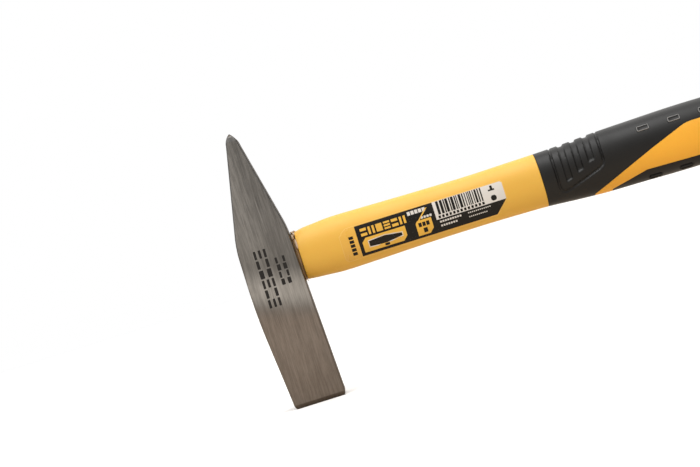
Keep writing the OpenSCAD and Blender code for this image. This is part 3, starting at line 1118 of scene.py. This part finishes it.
@dataclass
class Jacket:
    """The plastic shell of the handle, with its tang under the grip."""

    form: HandleForm
    core_end: float
    around: int = 96
    lip: float = 0.35 * MM

    def build(self) -> Bench:
        """Sweep from the end of the core's bore out round the lip and along to the butt."""
        form = self.form
        core = Ring(0, form.axis, 4.52 * MM, 8.52 * MM)
        bore = [core.grown(0.0, x) for x in (self.core_end, form.neck + 2 * MM, form.neck)]
        lip = [form.ring(form.neck + self.lip * (1 - math.cos(a)), self.lip * (1 - math.sin(a)))
               for a in between(0, math.pi / 2, math.radians(18))]
        shaft = [form.ring(x)
                 for x in between(form.neck + self.lip + 0.8 * MM, form.grip - 0.25 * MM, 2 * MM)]
        shut = [form.ring(form.grip - 0.05 * MM, 0.2 * MM), form.ring(form.grip, 0.5 * MM)]
        tang_end = form.butt - form.skin
        tang = [form.rounded(x, tang_end, form.skin + 0.02 * MM)
                for x in between(form.grip, tang_end - form.butt_round, 6 * MM) + form.corner(tang_end)[1:]]
        jacket = sweep("handle_jacket_shell", bore + lip + shaft + shut + tang, self.around, form.squareness)
        jacket.cut(hang_tool(BUSH_SEAT, BUSH_SEAT), Cut.REMOVE)
        jacket.smooth(40)
        return jacket


def hang_tool(hole: float, flange: float) -> Bench:
    """A turned tool across the handle at the hanging hole.

    Args:
        hole: Radius of its middle.
        flange: Radius of its two ends, outside the bush's own length.

    Returns:
        The tool.
    """
    low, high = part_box("hang_bush")
    centre, half, sunk = (low + high) / 2, (high.y - low.y) / 2, 1.25 * MM
    inner = half - sunk
    places = [(-half - 4 * MM, flange), (-inner, flange), (-inner, hole), (inner, hole), (inner, flange),
              (half + 4 * MM, flange)]
    tool = sweep("hang_tool", [Ring(x, 0.0, r, r) for x, r in places], 64, 2.0)
    tool.settle(centre, ACROSS)
    return tool


@dataclass
class HangBush:
    """The moulded bush that lines the hanging hole, flanged at both ends."""

    hole: float
    wall: float = 5.58 * MM
    flange: float = 1.15 * MM
    round: float = 0.45 * MM

    def build(self) -> Bench:
        """Sweep the bush's wall once round its section, then turn it across the handle."""
        low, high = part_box("hang_bush")
        half = (high.y - low.y) / 2
        rim = (high.x - low.x) / 2 - 0.04 * MM
        bend = [math.radians(a) for a in (0, 30, 60, 90)]
        inner = [(half - self.round * (1 - math.sin(a)), self.hole + self.round * (1 - math.cos(a)))
                 for a in bend]
        outer = [(half - self.round * (1 - math.cos(a)), rim - self.round * (1 - math.sin(a))) for a in bend]
        side = inner + outer + [(half - self.flange, rim), (half - self.flange, self.wall)]
        loop = side + [(-x, r) for x, r in reversed(side)]
        loop.append(loop[0])
        start, radius = loop[0]
        bush = superellipse_loop("hanging_bush", Ring(start, 0.0, radius, radius), 96, 2.0)
        for (x0, r0), (x1, r1) in zip(loop, loop[1:]):
            bpy.ops.mesh.extrude_edges_move(TRANSFORM_OT_translate={"value": (x1 - x0, 0.0, 0.0)})
            bpy.ops.transform.resize(value=(1.0, r1 / r0, r1 / r0), center_override=(x1, 0.0, 0.0))
        bush.face_out()
        bush.settle((low + high) / 2, ACROSS)
        bush.smooth(40)
        return bush


@dataclass
class ThumbPanel:
    """The ribs under the thumb, and the groove that frames them.

    Lengths are millimetres: X along the handle, Z from its axis.
    """

    channels: tuple[tuple[float, float, float], ...] = (
        (155.8, 1.75, -4.6), (162.3, 1.75, -1.6), (168.8, 1.75, 1.5))
    slant: float = 0.3
    frame_path: tuple[tuple[float, float], ...] = (
        (150.1, 40), (150.1, -6.6), (150.7, -8.4), (152.4, -9.2), (154.2, -8.9), (171.2, -3.1),
        (173.6, -1.6), (174.5, 0.4), (174.5, 40))
    channel_depth: float = 0.85
    frame_depth: float = 0.65
    frame_half: float = 0.78
    draft: float = 0.115
    start: float = 147.0
    end: float = 176.6
    inner_reach: float = 10.0
    steps: int = 10

    def depth(self, x: float, z: float) -> float:
        """How deep the panel's relief is at a point, in millimetres.

        Args:
            x: Place along the handle.
            z: Height from the axis.

        Returns:
            The depth.
        """
        point = Vector((x, z))
        near = math.inf
        for a, b in zip(self.frame_path, self.frame_path[1:]):
            corner, run = Vector(a), Vector(b) - Vector(a)
            share = max(0.0, min(1.0, (point - corner).dot(run) / run.length_squared))
            near = min(near, (point - corner - share * run).length)
        depth = self.frame_depth * max(0.0, 1.0 - (near / self.frame_half) ** 2)
        for centre, half, low in self.channels:
            across = max(0.0, 1.0 - (abs(x - centre) / half) ** 5)
            along = max(0.0, min(1.0, (z - low - self.slant * (x - centre)) / 0.9))
            depth = max(depth, self.channel_depth * across * along)
        return depth

    def press(self, bench: Bench, axis: float) -> None:
        """Press the relief into a skin, a thin step at a time.

        Args:
            bench: The skin, with a fine mesh under the panel.
            axis: Height of the handle's axis.
        """
        deepest = max(self.channel_depth, self.frame_depth)
        depths = {}
        bench.edit()
        for vertex in bmesh.from_edit_mesh(bench.piece.data).verts:
            x, z = vertex.co.x / MM, (vertex.co.z - axis) / MM
            if self.start < x < self.end and math.hypot(vertex.co.y / MM, z) > self.inner_reach:
                depths[vertex.index] = self.depth(x + self.draft * abs(vertex.co.y) / MM, z)
        for step in range(self.steps):
            level = deepest * (step + 0.5) / self.steps
            bpy.ops.mesh.select_all(action="DESELECT")
            shape = bmesh.from_edit_mesh(bench.piece.data)
            shape.verts.ensure_lookup_table()
            for index, depth in depths.items():
                if depth > level:
                    shape.verts[index].select_set(True)
            shape.select_flush_mode()
            bmesh.update_edit_mesh(bench.piece.data)
            bpy.ops.transform.shrink_fatten(value=-deepest / self.steps * MM)
        bpy.ops.object.mode_set(mode="OBJECT")


@dataclass
class Grip:
    """The rubber grip, its orange window, and the studs set in its flanks."""

    form: HandleForm
    panel: ThumbPanel = field(default_factory=ThumbPanel)
    around: int = 208
    line: float = 0.11 * MM
    stud_length: float = 6.2 * MM
    stud_width: float = 2.7 * MM
    stud_proud: float = 0.45 * MM
    stud_sunk: float = 1.2 * MM
    pocket_clear: float = 1.5 * MM
    pocket_deep: float = 0.55 * MM
    first_stud: float = 196.5 * MM
    stud_pitch: float = 16.0 * MM
    studs: int = 5

    def window(self) -> list[tuple[float, float]]:
        """Outline of the orange window, in metres."""
        points = [(164.6, -24), (165.2, -14.7), (181.8, -7.7), (197.8, -1.2), (213.9, 4.8), (216, 5.5),
                  (218, 5.95), (221, 6.1), (252, 6.1), (254.8, 5.8), (257, 5), (265.4, -5.4), (266, -7.4),
                  (265.4, -9.6), (263.8, -11.1), (261, -11.7), (219, -11.6), (192.7, -10.8), (174.3, -15),
                  (173, -24)]
        return [(x * MM, self.form.axis + z * MM) for x, z in points]

    def skin(self) -> Bench:
        """Sweep the whole grip, inner wall first, then its outer wall, and press in the thumb ribs."""
        form = self.form
        inner_end = form.butt - form.skin
        inner_x = between(form.grip, inner_end - form.butt_round, 7 * MM) + form.corner(inner_end)[1:]
        inner = [form.rounded(x, inner_end, form.skin) for x in reversed(inner_x)]
        edge = [form.ring(form.grip, 0.35 * MM), form.ring(form.grip + 0.1 * MM, 0.1 * MM)]
        plain = between(form.grip + 0.35 * MM, 146.6 * MM, 2 * MM)
        ribs = between(147.0 * MM, 176.8 * MM, 0.36 * MM)
        rest = between(178.4 * MM, form.butt - form.butt_round - 1 * MM, 2 * MM)
        corner = form.corner(form.butt)
        outer = [form.rounded(x, form.butt) for x in plain + ribs + rest + corner]
        skin = sweep("grip_skin", inner + edge + outer, self.around, form.squareness)
        self.panel.press(skin, form.axis)
        return skin

    def stud(self, name: str, length: float, width: float, top: float, bottom: float) -> Bench:
        """Model one stud at the origin: a bar with round corners and a dished top.

        Args:
            name: Its name.
            length: Its length along X.
            width: Its width along Y.
            top: How far it stands above the origin.
            bottom: How far it reaches below it.

        Returns:
            The stud.
        """
        clear_bench()
        bpy.ops.mesh.primitive_cube_add(size=1.0, location=(0, 0, (top - bottom) / 2),
                                        scale=(length, width, top + bottom))
        stud = Bench(name)
        stud.pick(Part.EDGE, lambda p: abs(p.z - (top - bottom) / 2) < 10 * CLOSE)
        bpy.ops.mesh.bevel(affect="EDGES", offset=0.28 * width, segments=5)
        stud.pick(Part.FACE, lambda p: p.z > top - 10 * CLOSE)
        bpy.ops.mesh.inset(thickness=0.22 * MM, depth=0.0)
        bpy.ops.mesh.inset(thickness=0.3 * MM, depth=0.0)
        bpy.ops.transform.translate(value=(0, 0, -0.16 * MM))
        stud.pick(Part.VERT, lambda p: p.z > top - 10 * CLOSE and max(
            abs(p.x) - length / 2, abs(p.y) - width / 2) > -0.05 * MM)
        bpy.ops.transform.translate(value=(0, 0, -0.18 * MM))
        stud.face_out()
        return stud

    def row(self, name: str, pattern: Bench, height: float) -> Bench:
        """Copy a stud along both flanks, each copy turned to face out of the grip.

        Args:
            name: The row's name.
            pattern: The stud at the origin, which is used up.
            height: Height of the row from the handle's axis.

        Returns:
            The row, as one piece.
        """
        copies: list[Bench] = []
        for i in range(self.studs):
            x = self.first_stud + i * self.stud_pitch
            lean, half = self.form.lean(x, height), self.form.flank(x, height)
            for side in (-1, 1):
                copy = pattern.copy(name)
                copy.settle(Vector((x, side * half, self.form.axis + height)),
                            (-side * (math.pi / 2 - lean), 0.0, 0.0))
                copies.append(copy)
        pattern.scrap()
        return Bench.joined(name, copies)

    def build(self) -> tuple[Bench, Bench, Bench, Bench]:
        """Cut the skin into sleeve and window, and set the studs.

        Returns:
            The sleeve, the window's inlay, the upper studs and the lower studs.
        """
        sleeve = self.skin()
        inlay = sleeve.copy("grip_window")
        bar = draw_outline("window_tool", self.window(), 80 * MM)
        slim = bar.copy("slim_tool")
        slim.pick_all()
        bpy.ops.transform.shrink_fatten(value=-self.line)
        clear_bench()
        inlay.cut(slim, Cut.KEEP)
        sleeve.cut(bar, Cut.REMOVE)
        sleeve.cut(hang_tool(BUSH_SEAT, FLANGE_SEAT), Cut.REMOVE)
        rows = []
        for name, height, gap in (("upper_stud_row", 9.6 * MM, 0.22 * MM),
                                  ("lower_stud_row", -15.0 * MM, 0.4 * MM)):
            pocket = self.stud("pocket", self.stud_length + 2 * gap, self.stud_width + 2 * gap,
                               self.pocket_clear, self.pocket_deep)
            sleeve.cut(self.row(name + "_pockets", pocket, height), Cut.REMOVE)
            stud = self.stud("stud", self.stud_length, self.stud_width, self.stud_proud, self.stud_sunk)
            rows.append(self.row(name, stud, height))
        for piece in (sleeve, inlay):
            piece.smooth(38)
        for row in rows:
            row.smooth(50)
        sleeve.piece.name = "grip_sleeve_skin"
        return sleeve, inlay, rows[0], rows[1]


# ---------------------------------------------------------------- the label

@dataclass
class Label:
    """The printed film on the jacket's flank, with plain blocks for its print.

    Lengths in its tables are millimetres: X along the handle, Z from its axis.
    """

    form: HandleForm
    jacket: Bench
    stand_off: float = -0.03
    film: tuple[float, float, float, float] = (37.0, 122.0, -10.2, 5.8)
    rim: float = 0.25
    film_thick: float = 0.1 * MM
    ink_thick: float = 0.02 * MM
    seed: int = 11

    def begin(self, name: str) -> Bench:
        """Start an empty print in edit mode.

        Args:
            name: The print's name.

        Returns:
            The print.
        """
        clear_bench()
        bpy.ops.mesh.primitive_plane_add(size=MM)
        sheet = Bench(name)
        sheet.pick_all(Part.VERT)
        bpy.ops.mesh.delete(type="VERT")
        return sheet

    def block(self, x0: float, x1: float, z0: float, z1: float) -> None:
        """Add a rectangle to the print that is open, cut fine enough to bend round the flank.

        Args:
            x0: Its left end.
            x1: Its right end.
            z0: Its lower edge.
            z1: Its upper edge.
        """
        middle = ((x0 + x1) / 2 * MM, self.stand_off, self.form.axis + (z0 + z1) / 2 * MM)
        bpy.ops.mesh.select_all(action="DESELECT")
        bpy.ops.mesh.primitive_grid_add(
            x_subdivisions=max(1, round((x1 - x0) / 4)), y_subdivisions=max(1, round((z1 - z0) / 0.8)),
            size=MM, rotation=(math.pi / 2, 0.0, 0.0), location=middle)
        bpy.ops.transform.resize(value=(x1 - x0, 1.0, z1 - z0), center_override=middle)

    def snip(self, x: float, z: float, across: float, up: float) -> None:
        """Cut off what lies past a line, from the patch that was added last."""
        bpy.ops.mesh.select_linked()
        bpy.ops.mesh.bisect(plane_co=(x * MM, 0.0, self.form.axis + z * MM), plane_no=(across, 0.0, up),
                            clear_outer=True)

    def round_off(self, x: float, z: float, width: float, rise: float, steps: int = 5) -> None:
        """Round one corner of the patch that was added last.

        Args:
            x: The corner.
            z: The corner's height.
            width: The rounding's size along X, negative where the patch lies on the lower side.
            rise: The same along Z.
            steps: How many cuts make the rounding.
        """
        centre = (x + width, z + rise)
        for i in range(steps):
            angle = math.pi / 2 * (i + 0.5) / steps
            point = (centre[0] - width * math.cos(angle), centre[1] - rise * math.sin(angle))
            self.snip(*point, -math.cos(angle) / width, -math.sin(angle) / rise)

    def greek(self, x0: float, x1: float, z0: float, z1: float, count: int, share: float = 0.78) -> None:
        """Add a row of plain blocks where a line of print would be.

        Args:
            x0: Where the row starts.
            x1: Where it ends.
            z0: Its lower edge.
            z1: Its upper edge.
            count: How many blocks.
            share: How much of the row is filled.
        """
        pitch = (x1 - x0) / count
        for i in range(count):
            self.block(x0 + i * pitch, x0 + (i + share) * pitch, z0, z1)

    def lay(self, sheet: Bench, target: Bench, thick: float) -> Bench:
        """Wrap a print round what lies under it and give it its thickness.

        Args:
            sheet: The flat print.
            target: What it lies on.
            thick: How thick it is.

        Returns:
            The print.
        """
        sheet.apply("SHRINKWRAP", target=target.piece, wrap_method="PROJECT", use_project_y=True,
                    use_positive_direction=True, use_negative_direction=False, offset=0.004 * MM)
        sheet.apply("SOLIDIFY", thickness=thick, offset=1.0)
        sheet.face_out()
        sheet.smooth(40)
        return sheet

    def backing(self, name: str, margin: float, thick: float) -> Bench:
        """A sheet of film, rounded at the near end and cut off at the far one.

        Args:
            name: The sheet's name.
            margin: How much larger than the film it is all round.
            thick: How thick it is.

        Returns:
            The sheet.
        """
        x0, x1, z0, z1 = self.film
        x0, x1, z0, z1 = x0 - margin, x1 + margin, z0 - margin, z1 + margin
        sheet = self.begin(name)
        self.block(x0, x1, z0, z1)
        self.round_off(x0, z1, 7.5, -5.9, 7)
        self.round_off(x0, z0, 2.5, 2.5)
        self.round_off(x1, z1, -1.6, -1.6)
        self.snip(x1, -3.7, 1.25, -1)
        return self.lay(sheet, self.jacket, thick)

    def print_on(self, name: str, target: Bench, draw: Callable[[], None]) -> Bench:
        """Print a layer on what lies under it.

        Args:
            name: The layer's name.
            target: What it is printed on.
            draw: Adds its patches.

        Returns:
            The layer.
        """
        sheet = self.begin(name)
        draw()
        return self.lay(sheet, target, self.ink_thick)

    def draw_ground(self) -> None:
        """The black panel, the strip past it, and the marks at the near end."""
        self.block(45.4, 85.7, -9.8, 5.6)
        self.block(85.7, 121.8, -9.8, -3.5)
        self.snip(121.8, -3.5, 1.25, -1)
        for i in range(5):
            self.block(41.1, 43.4, -8.2 + i * 2.02, -8.2 + i * 2.02 + 1.5)

    def draw_panel(self) -> None:
        """The white panel that the bars stand on."""
        self.block(85.7, 121.8, -3.5, 5.6)
        self.round_off(121.8, 5.6, -1.5, -1.5)

    def draw_bars(self) -> None:
        """The bars, the row of small blocks under them and the two marks at the far end."""
        bars = random.Random(self.seed)
        x = 87.4
        while x < 111.2:
            wide = bars.choice((0.5, 0.66, 0.99, 1.3))
            self.block(x, min(x + wide, 111.8), -1.3, 5.45)
            x += wide + bars.choice((0.33, 0.5, 0.66))
        self.greek(87.0, 111.6, -3.1, -1.75, 13, 0.62)
        self.block(114.2, 117.4, 2.4, 3.2)
        self.block(115.4, 116.6, 3.2, 4.9)
        self.block(114.6, 117.4, -2.7, 0.0)
        for x, z, width, rise in ((114.6, -2.7, 1.2, 1.2), (117.4, -2.7, -1.2, 1.2),
                                  (117.4, 0.0, -1.2, -1.2), (114.6, 0.0, 1.2, -1.2)):
            self.round_off(x, z, width, rise, 3)

    def draw_yellow(self) -> None:
        """The title's blocks, the two badges and the slash."""
        upright, level = ((0.0, 0.36), (0.64, 1.0)), ((0.0, 0.24), (0.38, 0.62), (0.76, 1.0))
        for i, (shape, flat) in enumerate(((upright, True), (upright, False), (((0.0, 1.0),), True),
                                           (level, True), (upright, True), (upright, False))):
            x0 = 47.6 + i * 4.05
            for a, b in shape:
                if flat:
                    self.block(x0, x0 + 3.2, -0.25 + 3.9 * a, -0.25 + 3.9 * b)
                else:
                    self.block(x0 + 3.2 * a, x0 + 3.2 * b, -0.25, 3.65)
        self.block(47.2, 69.6, -8.4, -1.3)
        self.snip(49.2, -1.3, -1, 1.4)
        self.snip(67.4, -8.4, 1.2, -1)
        self.block(75.0, 83.3, -8.6, -1.1)
        self.round_off(75.0, -1.1, 2.0, -2.0, 3)
        self.snip(83.3, -6.4, 1, -1.1)
        self.block(74.2, 84.6, -1.6, 4.1)
        self.snip(79.4, 1.72, -5.05, 10.4)
        self.snip(79.4, 0.78, 5.05, -10.4)

    def draw_white(self) -> None:
        """The small lines of print on black, the grey device, and the pictogram's outline."""
        for row, (z0, z1) in enumerate(((-5.3, -4.4), (-7.3, -6.4))):
            self.greek(87.0, 98.4 - 2.6 * row, z0, z1, 9 - 2 * row, 0.72)
            self.greek(101.6, 113.6 - 2.2 * row, z0 + 0.25, z1 - 0.1, 12 - 2 * row, 0.6)
        self.greek(72.4, 82.0, 2.7, 4.6, 5, 0.8)
        self.greek(78.4, 84.4, -0.6, 0.5, 4, 0.76)
        self.hexagon(49.9, 67.8, 0.45)

    def draw_dark(self) -> None:
        """The pictogram of a head with its handle, and the small badge's blocks."""
        self.hexagon(50.4, 67.3, 0.0)
        self.block(57.8, 60.2, -8.0, -6.8)
        self.greek(76.3, 82.3, -4.4, -2.3, 3, 0.8)
        self.block(78.2, 80.2, -7.6, -5.3)

    def hexagon(self, x0: float, x1: float, grow: float) -> None:
        """Add a long hexagon, like a head seen from its cheek.

        Args:
            x0: Its square end.
            x1: Its narrow end.
            grow: How much larger it is all round.
        """
        self.block(x0, x1, -6.6 - grow, -2.9 + grow)
        for z, up in ((-2.9 + grow, 1.0), (-6.6 - grow, -1.0)):
            self.snip(57.6, z, -0.07, up)
            self.snip(58.6, z, 0.13, up)


# ---------------------------------------------------------------- the studio

@dataclass
class Studio:
    """A pale floor, a white surround with soft light, and the camera."""

    tilt: float = math.radians(17.4)
    aim: tuple[float, float, float] = (42.64 * MM, 0.0, 75.41 * MM)
    distance: float = 0.9925
    lens: float = 102.0
    floor_size: float = 8.0
    floor_glow: Colour = (0.55, 0.465, 0.375, 1.0)
    lamp_place: tuple[float, float, float] = (0.05, -0.45, 1.0)
    lamp_aim: tuple[float, float, float] = (0.1, 0.0, 0.07)
    lamp_size: float = 0.7
    lamp_power: float = 4.5

    def floor(self) -> None:
        """Lay the floor that the face stands on; the light it throws back is dim and warm."""
        clear_bench()
        bpy.ops.mesh.primitive_grid_add(x_subdivisions=8, y_subdivisions=8, size=self.floor_size)
        floor = Bench("floor")
        material, tree, shader, place = Finish("pale_floor", (0.95, 0.94, 0.925), 0.6).start()
        cloud = tree.noise(place, 5.0, 4.0)
        colour = tree.blend(cloud, (0.95, 0.94, 0.925, 1.0), (0.97, 0.965, 0.955, 1.0))
        seen = tree.add("LightPath").outputs["Is Camera Ray"]
        tree.plug(shader, Base_Color=tree.blend(seen, self.floor_glow, colour), Specular_IOR_Level=0.1)
        floor.wear(material)

    def surround(self) -> None:
        """Light the scene from all round: bright above and behind, dim in front and low at both ends."""
        world = bpy.data.worlds.new("studio")
        bpy.context.scene.world = world
        world.use_nodes = True
        tree = Tree(world.node_tree)
        world.node_tree.nodes.clear()
        split = tree.add("SeparateXYZ", {0: tree.add("TexCoord").outputs["Generated"]})
        up = split.outputs["Z"]
        sky = tree.spread(up, 0.12, 0.9, 0.42, 1.62)
        behind = tree.spread(split.outputs["Y"], 0.15, 0.8)
        sky = tree.math("ADD", sky, tree.times(behind, tree.spread(up, -0.1, 0.7, 0.75, 0.0)))
        ends = tree.times(tree.spread(tree.math("ABSOLUTE", split.outputs["X"]), 0.6, 0.95),
                          tree.spread(up, 0.25, 0.6, 1.0, 0.0))
        power = tree.times(sky, tree.spread(ends, 0.0, 1.0, 1.0, 0.4))
        around = tree.add("Background", {"Color": (1.0, 0.985, 0.965, 1.0), "Strength": power})
        seen = tree.add("Background", {"Color": (1.0, 1.0, 1.0, 1.0), "Strength": 1.0})
        camera = tree.add("LightPath").outputs["Is Camera Ray"]
        mix = tree.add("MixShader", {0: camera, 1: around.outputs[0], 2: seen.outputs[0]})
        tree.add("OutputWorld", {0: mix.outputs[0]})

    def lamp(self) -> None:
        """Hang a soft square light that points at the hammer."""
        clear_bench()
        bpy.ops.object.light_add(type="AREA", location=self.lamp_place)
        lamp = bpy.context.object
        lamp.name = "overhead_softbox"
        lamp.data.size = self.lamp_size
        lamp.data.energy = self.lamp_power
        aim = Vector(self.lamp_aim) - Vector(self.lamp_place)
        lamp.rotation_euler = aim.to_track_quat("-Z", "Y").to_euler()

    def camera(self) -> None:
        """Place the camera level with the hammer, rolled so that the handle rises to the right."""
        clear_bench()
        place = (self.aim[0], -self.distance, self.aim[2])
        bpy.ops.object.camera_add(location=place, rotation=(math.pi / 2, self.tilt, 0.0))
        camera = bpy.context.object
        camera.data.lens = self.lens
        camera.data.sensor_width = 36.0
        camera.data.clip_start = 0.01
        camera.data.clip_end = 50.0
        bpy.context.scene.camera = camera

    def build(self) -> None:
        """Set up the whole studio."""
        self.camera()
        self.floor()
        self.surround()
        self.lamp()
        scene = bpy.context.scene
        scene.view_settings.view_transform = "Standard"
        scene.view_settings.look = "None"


# ---------------------------------------------------------------- putting it together

def make_materials(axis: float, head_high: Vector) -> dict[str, bpy.types.Material]:
    """Make every material of the hammer.

    Args:
        axis: Height of the handle's axis.
        head_high: Upper corner of the head's box.

    Returns:
        The materials by the finishes' names.
    """
    orange, black, painted_shade_black = (0.95, 0.455, 0.032), (0.005, 0.005, 0.005), (0.003, 0.003, 0.003)
    finishes = (
        GroundSteel("ground_steel", (0.222, 0.219, 0.213), 0.36, axis=axis, tip=head_high.z,
                    half_depth=head_high.y),
        PrintInk("etched_mark", (0.012, 0.011, 0.010), 0.5, scuff=0.5),
        # Amber resin, made dark so the bead at the neck reads as the shaded gap between head and jacket:
        # partly painted shade.
        MouldedPlastic("eye_resin", (0.34, 0.225, 0.125), 0.3, grain=900.0, depth=0.4, variation=0.3,
                       soil=0.4),
        MouldedPlastic("resin_flash", (0.66, 0.50, 0.36), 0.5, grain=900.0, variation=0.15, soil=0.2),
        GlassFibre("glass_fibre", (0.62, 0.52, 0.26), 0.35),
        MouldedPlastic("yellow_plastic", (0.815, 0.47, 0.066), 0.45, grain=700.0, relief_strength=0.04,
                       depth=0.12, variation=0.02, soil=0.04),
        MouldedPlastic("black_rubber", (0.0055, 0.0054, 0.0054), 0.36, grain=2200.0, relief_strength=0.2,
                       variation=0.12, specular=0.38),
        MouldedPlastic("orange_rubber", orange, 0.42, grain=2200.0, relief_strength=0.2, depth=0.1,
                       variation=0.03, soil=0.04),
        # The upper studs' edges are lightened as a painted highlight on their rims.
        MouldedPlastic("stud_plastic", black, 0.3, grain=1800.0, relief_strength=0.05, variation=0.1,
                       specular=0.3, edge_rub_and_highlight=0.5),
        # Painted shade: the lower studs are a darker, shaded copy of the stud plastic.
        MouldedPlastic("stud_plastic_shaded", painted_shade_black, 0.4, grain=1800.0, relief_strength=0.05, variation=0.1,
                       specular=0.12, edge_rub_and_highlight=0.03),
        MouldedPlastic("bush_plastic", orange, 0.35, grain=1800.0, relief_strength=0.15, depth=0.1,
                       variation=0.03),
        # Painted highlight: the pale rim round the film stands for its edge catching the light.
        PrintInk("film_edge", (0.86, 0.55, 0.15), 0.3, scuff=0.1),
        PrintInk("clear_film", (0.80, 0.45, 0.07), 0.25, scuff=0.06, specular=0.5),
        PrintInk("black_ink", (0.008, 0.007, 0.006), 0.36, specular=0.22),
        PrintInk("yellow_ink", (0.82, 0.47, 0.068), 0.36),
        PrintInk("white_ink", (0.70, 0.675, 0.645), 0.36, scuff=0.05),
    )
    return {finish.name: finish.build() for finish in finishes}


def build_head(form: HandleForm, head_high: Vector, made: dict[str, bpy.types.Material]) -> HammerHead:
    """Build the head with its two marks.

    Args:
        form: The handle.
        head_high: Upper corner of the head's box.
        made: The materials.

    Returns:
        The head's maker, for its sizes.
    """
    maker = HammerHead(axis=form.axis, height=head_high.z, half_depth=head_high.y)
    maker.build().finish(made["ground_steel"], Slot.STEEL, "head")
    both, wide = ((0.0, 0.24), (0.76, 1.0)), ((0.0, 0.36), (0.64, 1.0))
    rungs = ((0.0, 0.2), (0.4, 0.6), (0.8, 1.0))
    for name, left, right, top, bottom, pattern in (
            ("large_stamp", -6.2, 0.1, 8.5, -21.5, (rungs, both, wide, rungs, both, rungs)),
            ("small_stamp", 3.2, 8.2, 2.7, -12.0, (both, wide, both, wide))):
        high, low = form.axis + top * MM, form.axis + bottom * MM
        maker.stamp(name, left * MM, right * MM, high, low, pattern).finish(made["etched_mark"], Slot.STEEL)
    return maker


def build_label(form: HandleForm, jacket: Bench, made: dict[str, bpy.types.Material]) -> None:
    """Build the label, one layer on another.

    Args:
        form: The handle.
        jacket: What the label lies on.
        made: The materials.
    """
    label = Label(form, jacket)
    # The pale rim under the film's edge is a painted highlight of that edge.
    label.backing("label_rim", label.rim, 0.4 * label.film_thick).finish(made["film_edge"], Slot.PRINT)
    film = label.backing("label_backing", 0.0, label.film_thick)
    film.finish(made["clear_film"], Slot.PRINT, "label_film")
    layers = {"label_backing": film}
    for name, under, draw, ink in (
            ("label_ground", "label_backing", label.draw_ground, "black_ink"),
            ("label_panel", "label_backing", label.draw_panel, "white_ink"),
            ("label_bars", "label_panel", label.draw_bars, "black_ink"),
            ("label_yellow", "label_ground", label.draw_yellow, "yellow_ink"),
            ("label_white", "label_ground", label.draw_white, "white_ink"),
            ("label_dark", "label_yellow", label.draw_dark, "black_ink")):
        layers[name] = label.print_on(name, layers[under], draw)
        layers[name].finish(made[ink], Slot.PRINT)


def build_hammer() -> None:
    """Build every piece of the hammer in order and dress it."""
    core_low, core_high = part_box("core_rod")
    head_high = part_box("head")[1]
    bush_low, bush_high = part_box("hang_bush")
    butt = (bush_low.x + bush_high.x) / 2 + BUSH_TO_BUTT
    form = HandleForm(axis=(core_low.z + core_high.z) / 2, neck=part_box("handle_jacket")[0].x,
                      grip=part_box("grip_sleeve")[0].x, butt=butt)
    made = make_materials(form.axis, head_high)
    maker = build_head(form, head_high, made)

    bond = EyeBond(form, outer=-maker.half_body, head_side=maker.half_body + 0.5 * MM)
    bond.build().finish(made["eye_resin"], Slot.RESIN, "eye_epoxy")
    bond.flash().finish(made["resin_flash"], Slot.RESIN)
    rod = frame["nodes"]["core_rod"]
    rod.data.materials.clear()
    rod.data.materials.append(made["glass_fibre"])
    log.info("core_rod: CAD node kept, %s", made["glass_fibre"].name)

    jacket = Jacket(form, core_end=core_high.x).build()
    jacket.finish(made["yellow_plastic"], Slot.JACKET, "handle_jacket")
    HangBush(hole=4.0 * MM).build().finish(made["bush_plastic"], Slot.BUSH, "hang_bush")
    for piece, name, slot, node in zip(
            Grip(form).build(),
            ("black_rubber", "orange_rubber", "stud_plastic", "stud_plastic_shaded"),
            (Slot.RUBBER, Slot.INLAY, Slot.STUD, Slot.STUD),
            ("grip_sleeve", "grip_inlay", "upper_studs", "lower_studs")):
        piece.finish(made[name], slot, node)
    build_label(form, jacket, made)


def main() -> None:
    """Build the hammer and the studio, and report each piece."""
    logging.basicConfig(level=logging.INFO, format="%(message)s", stream=sys.stdout)
    build_hammer()
    Studio().build()
    clear_bench()


if __name__ == "__main__":
    main()
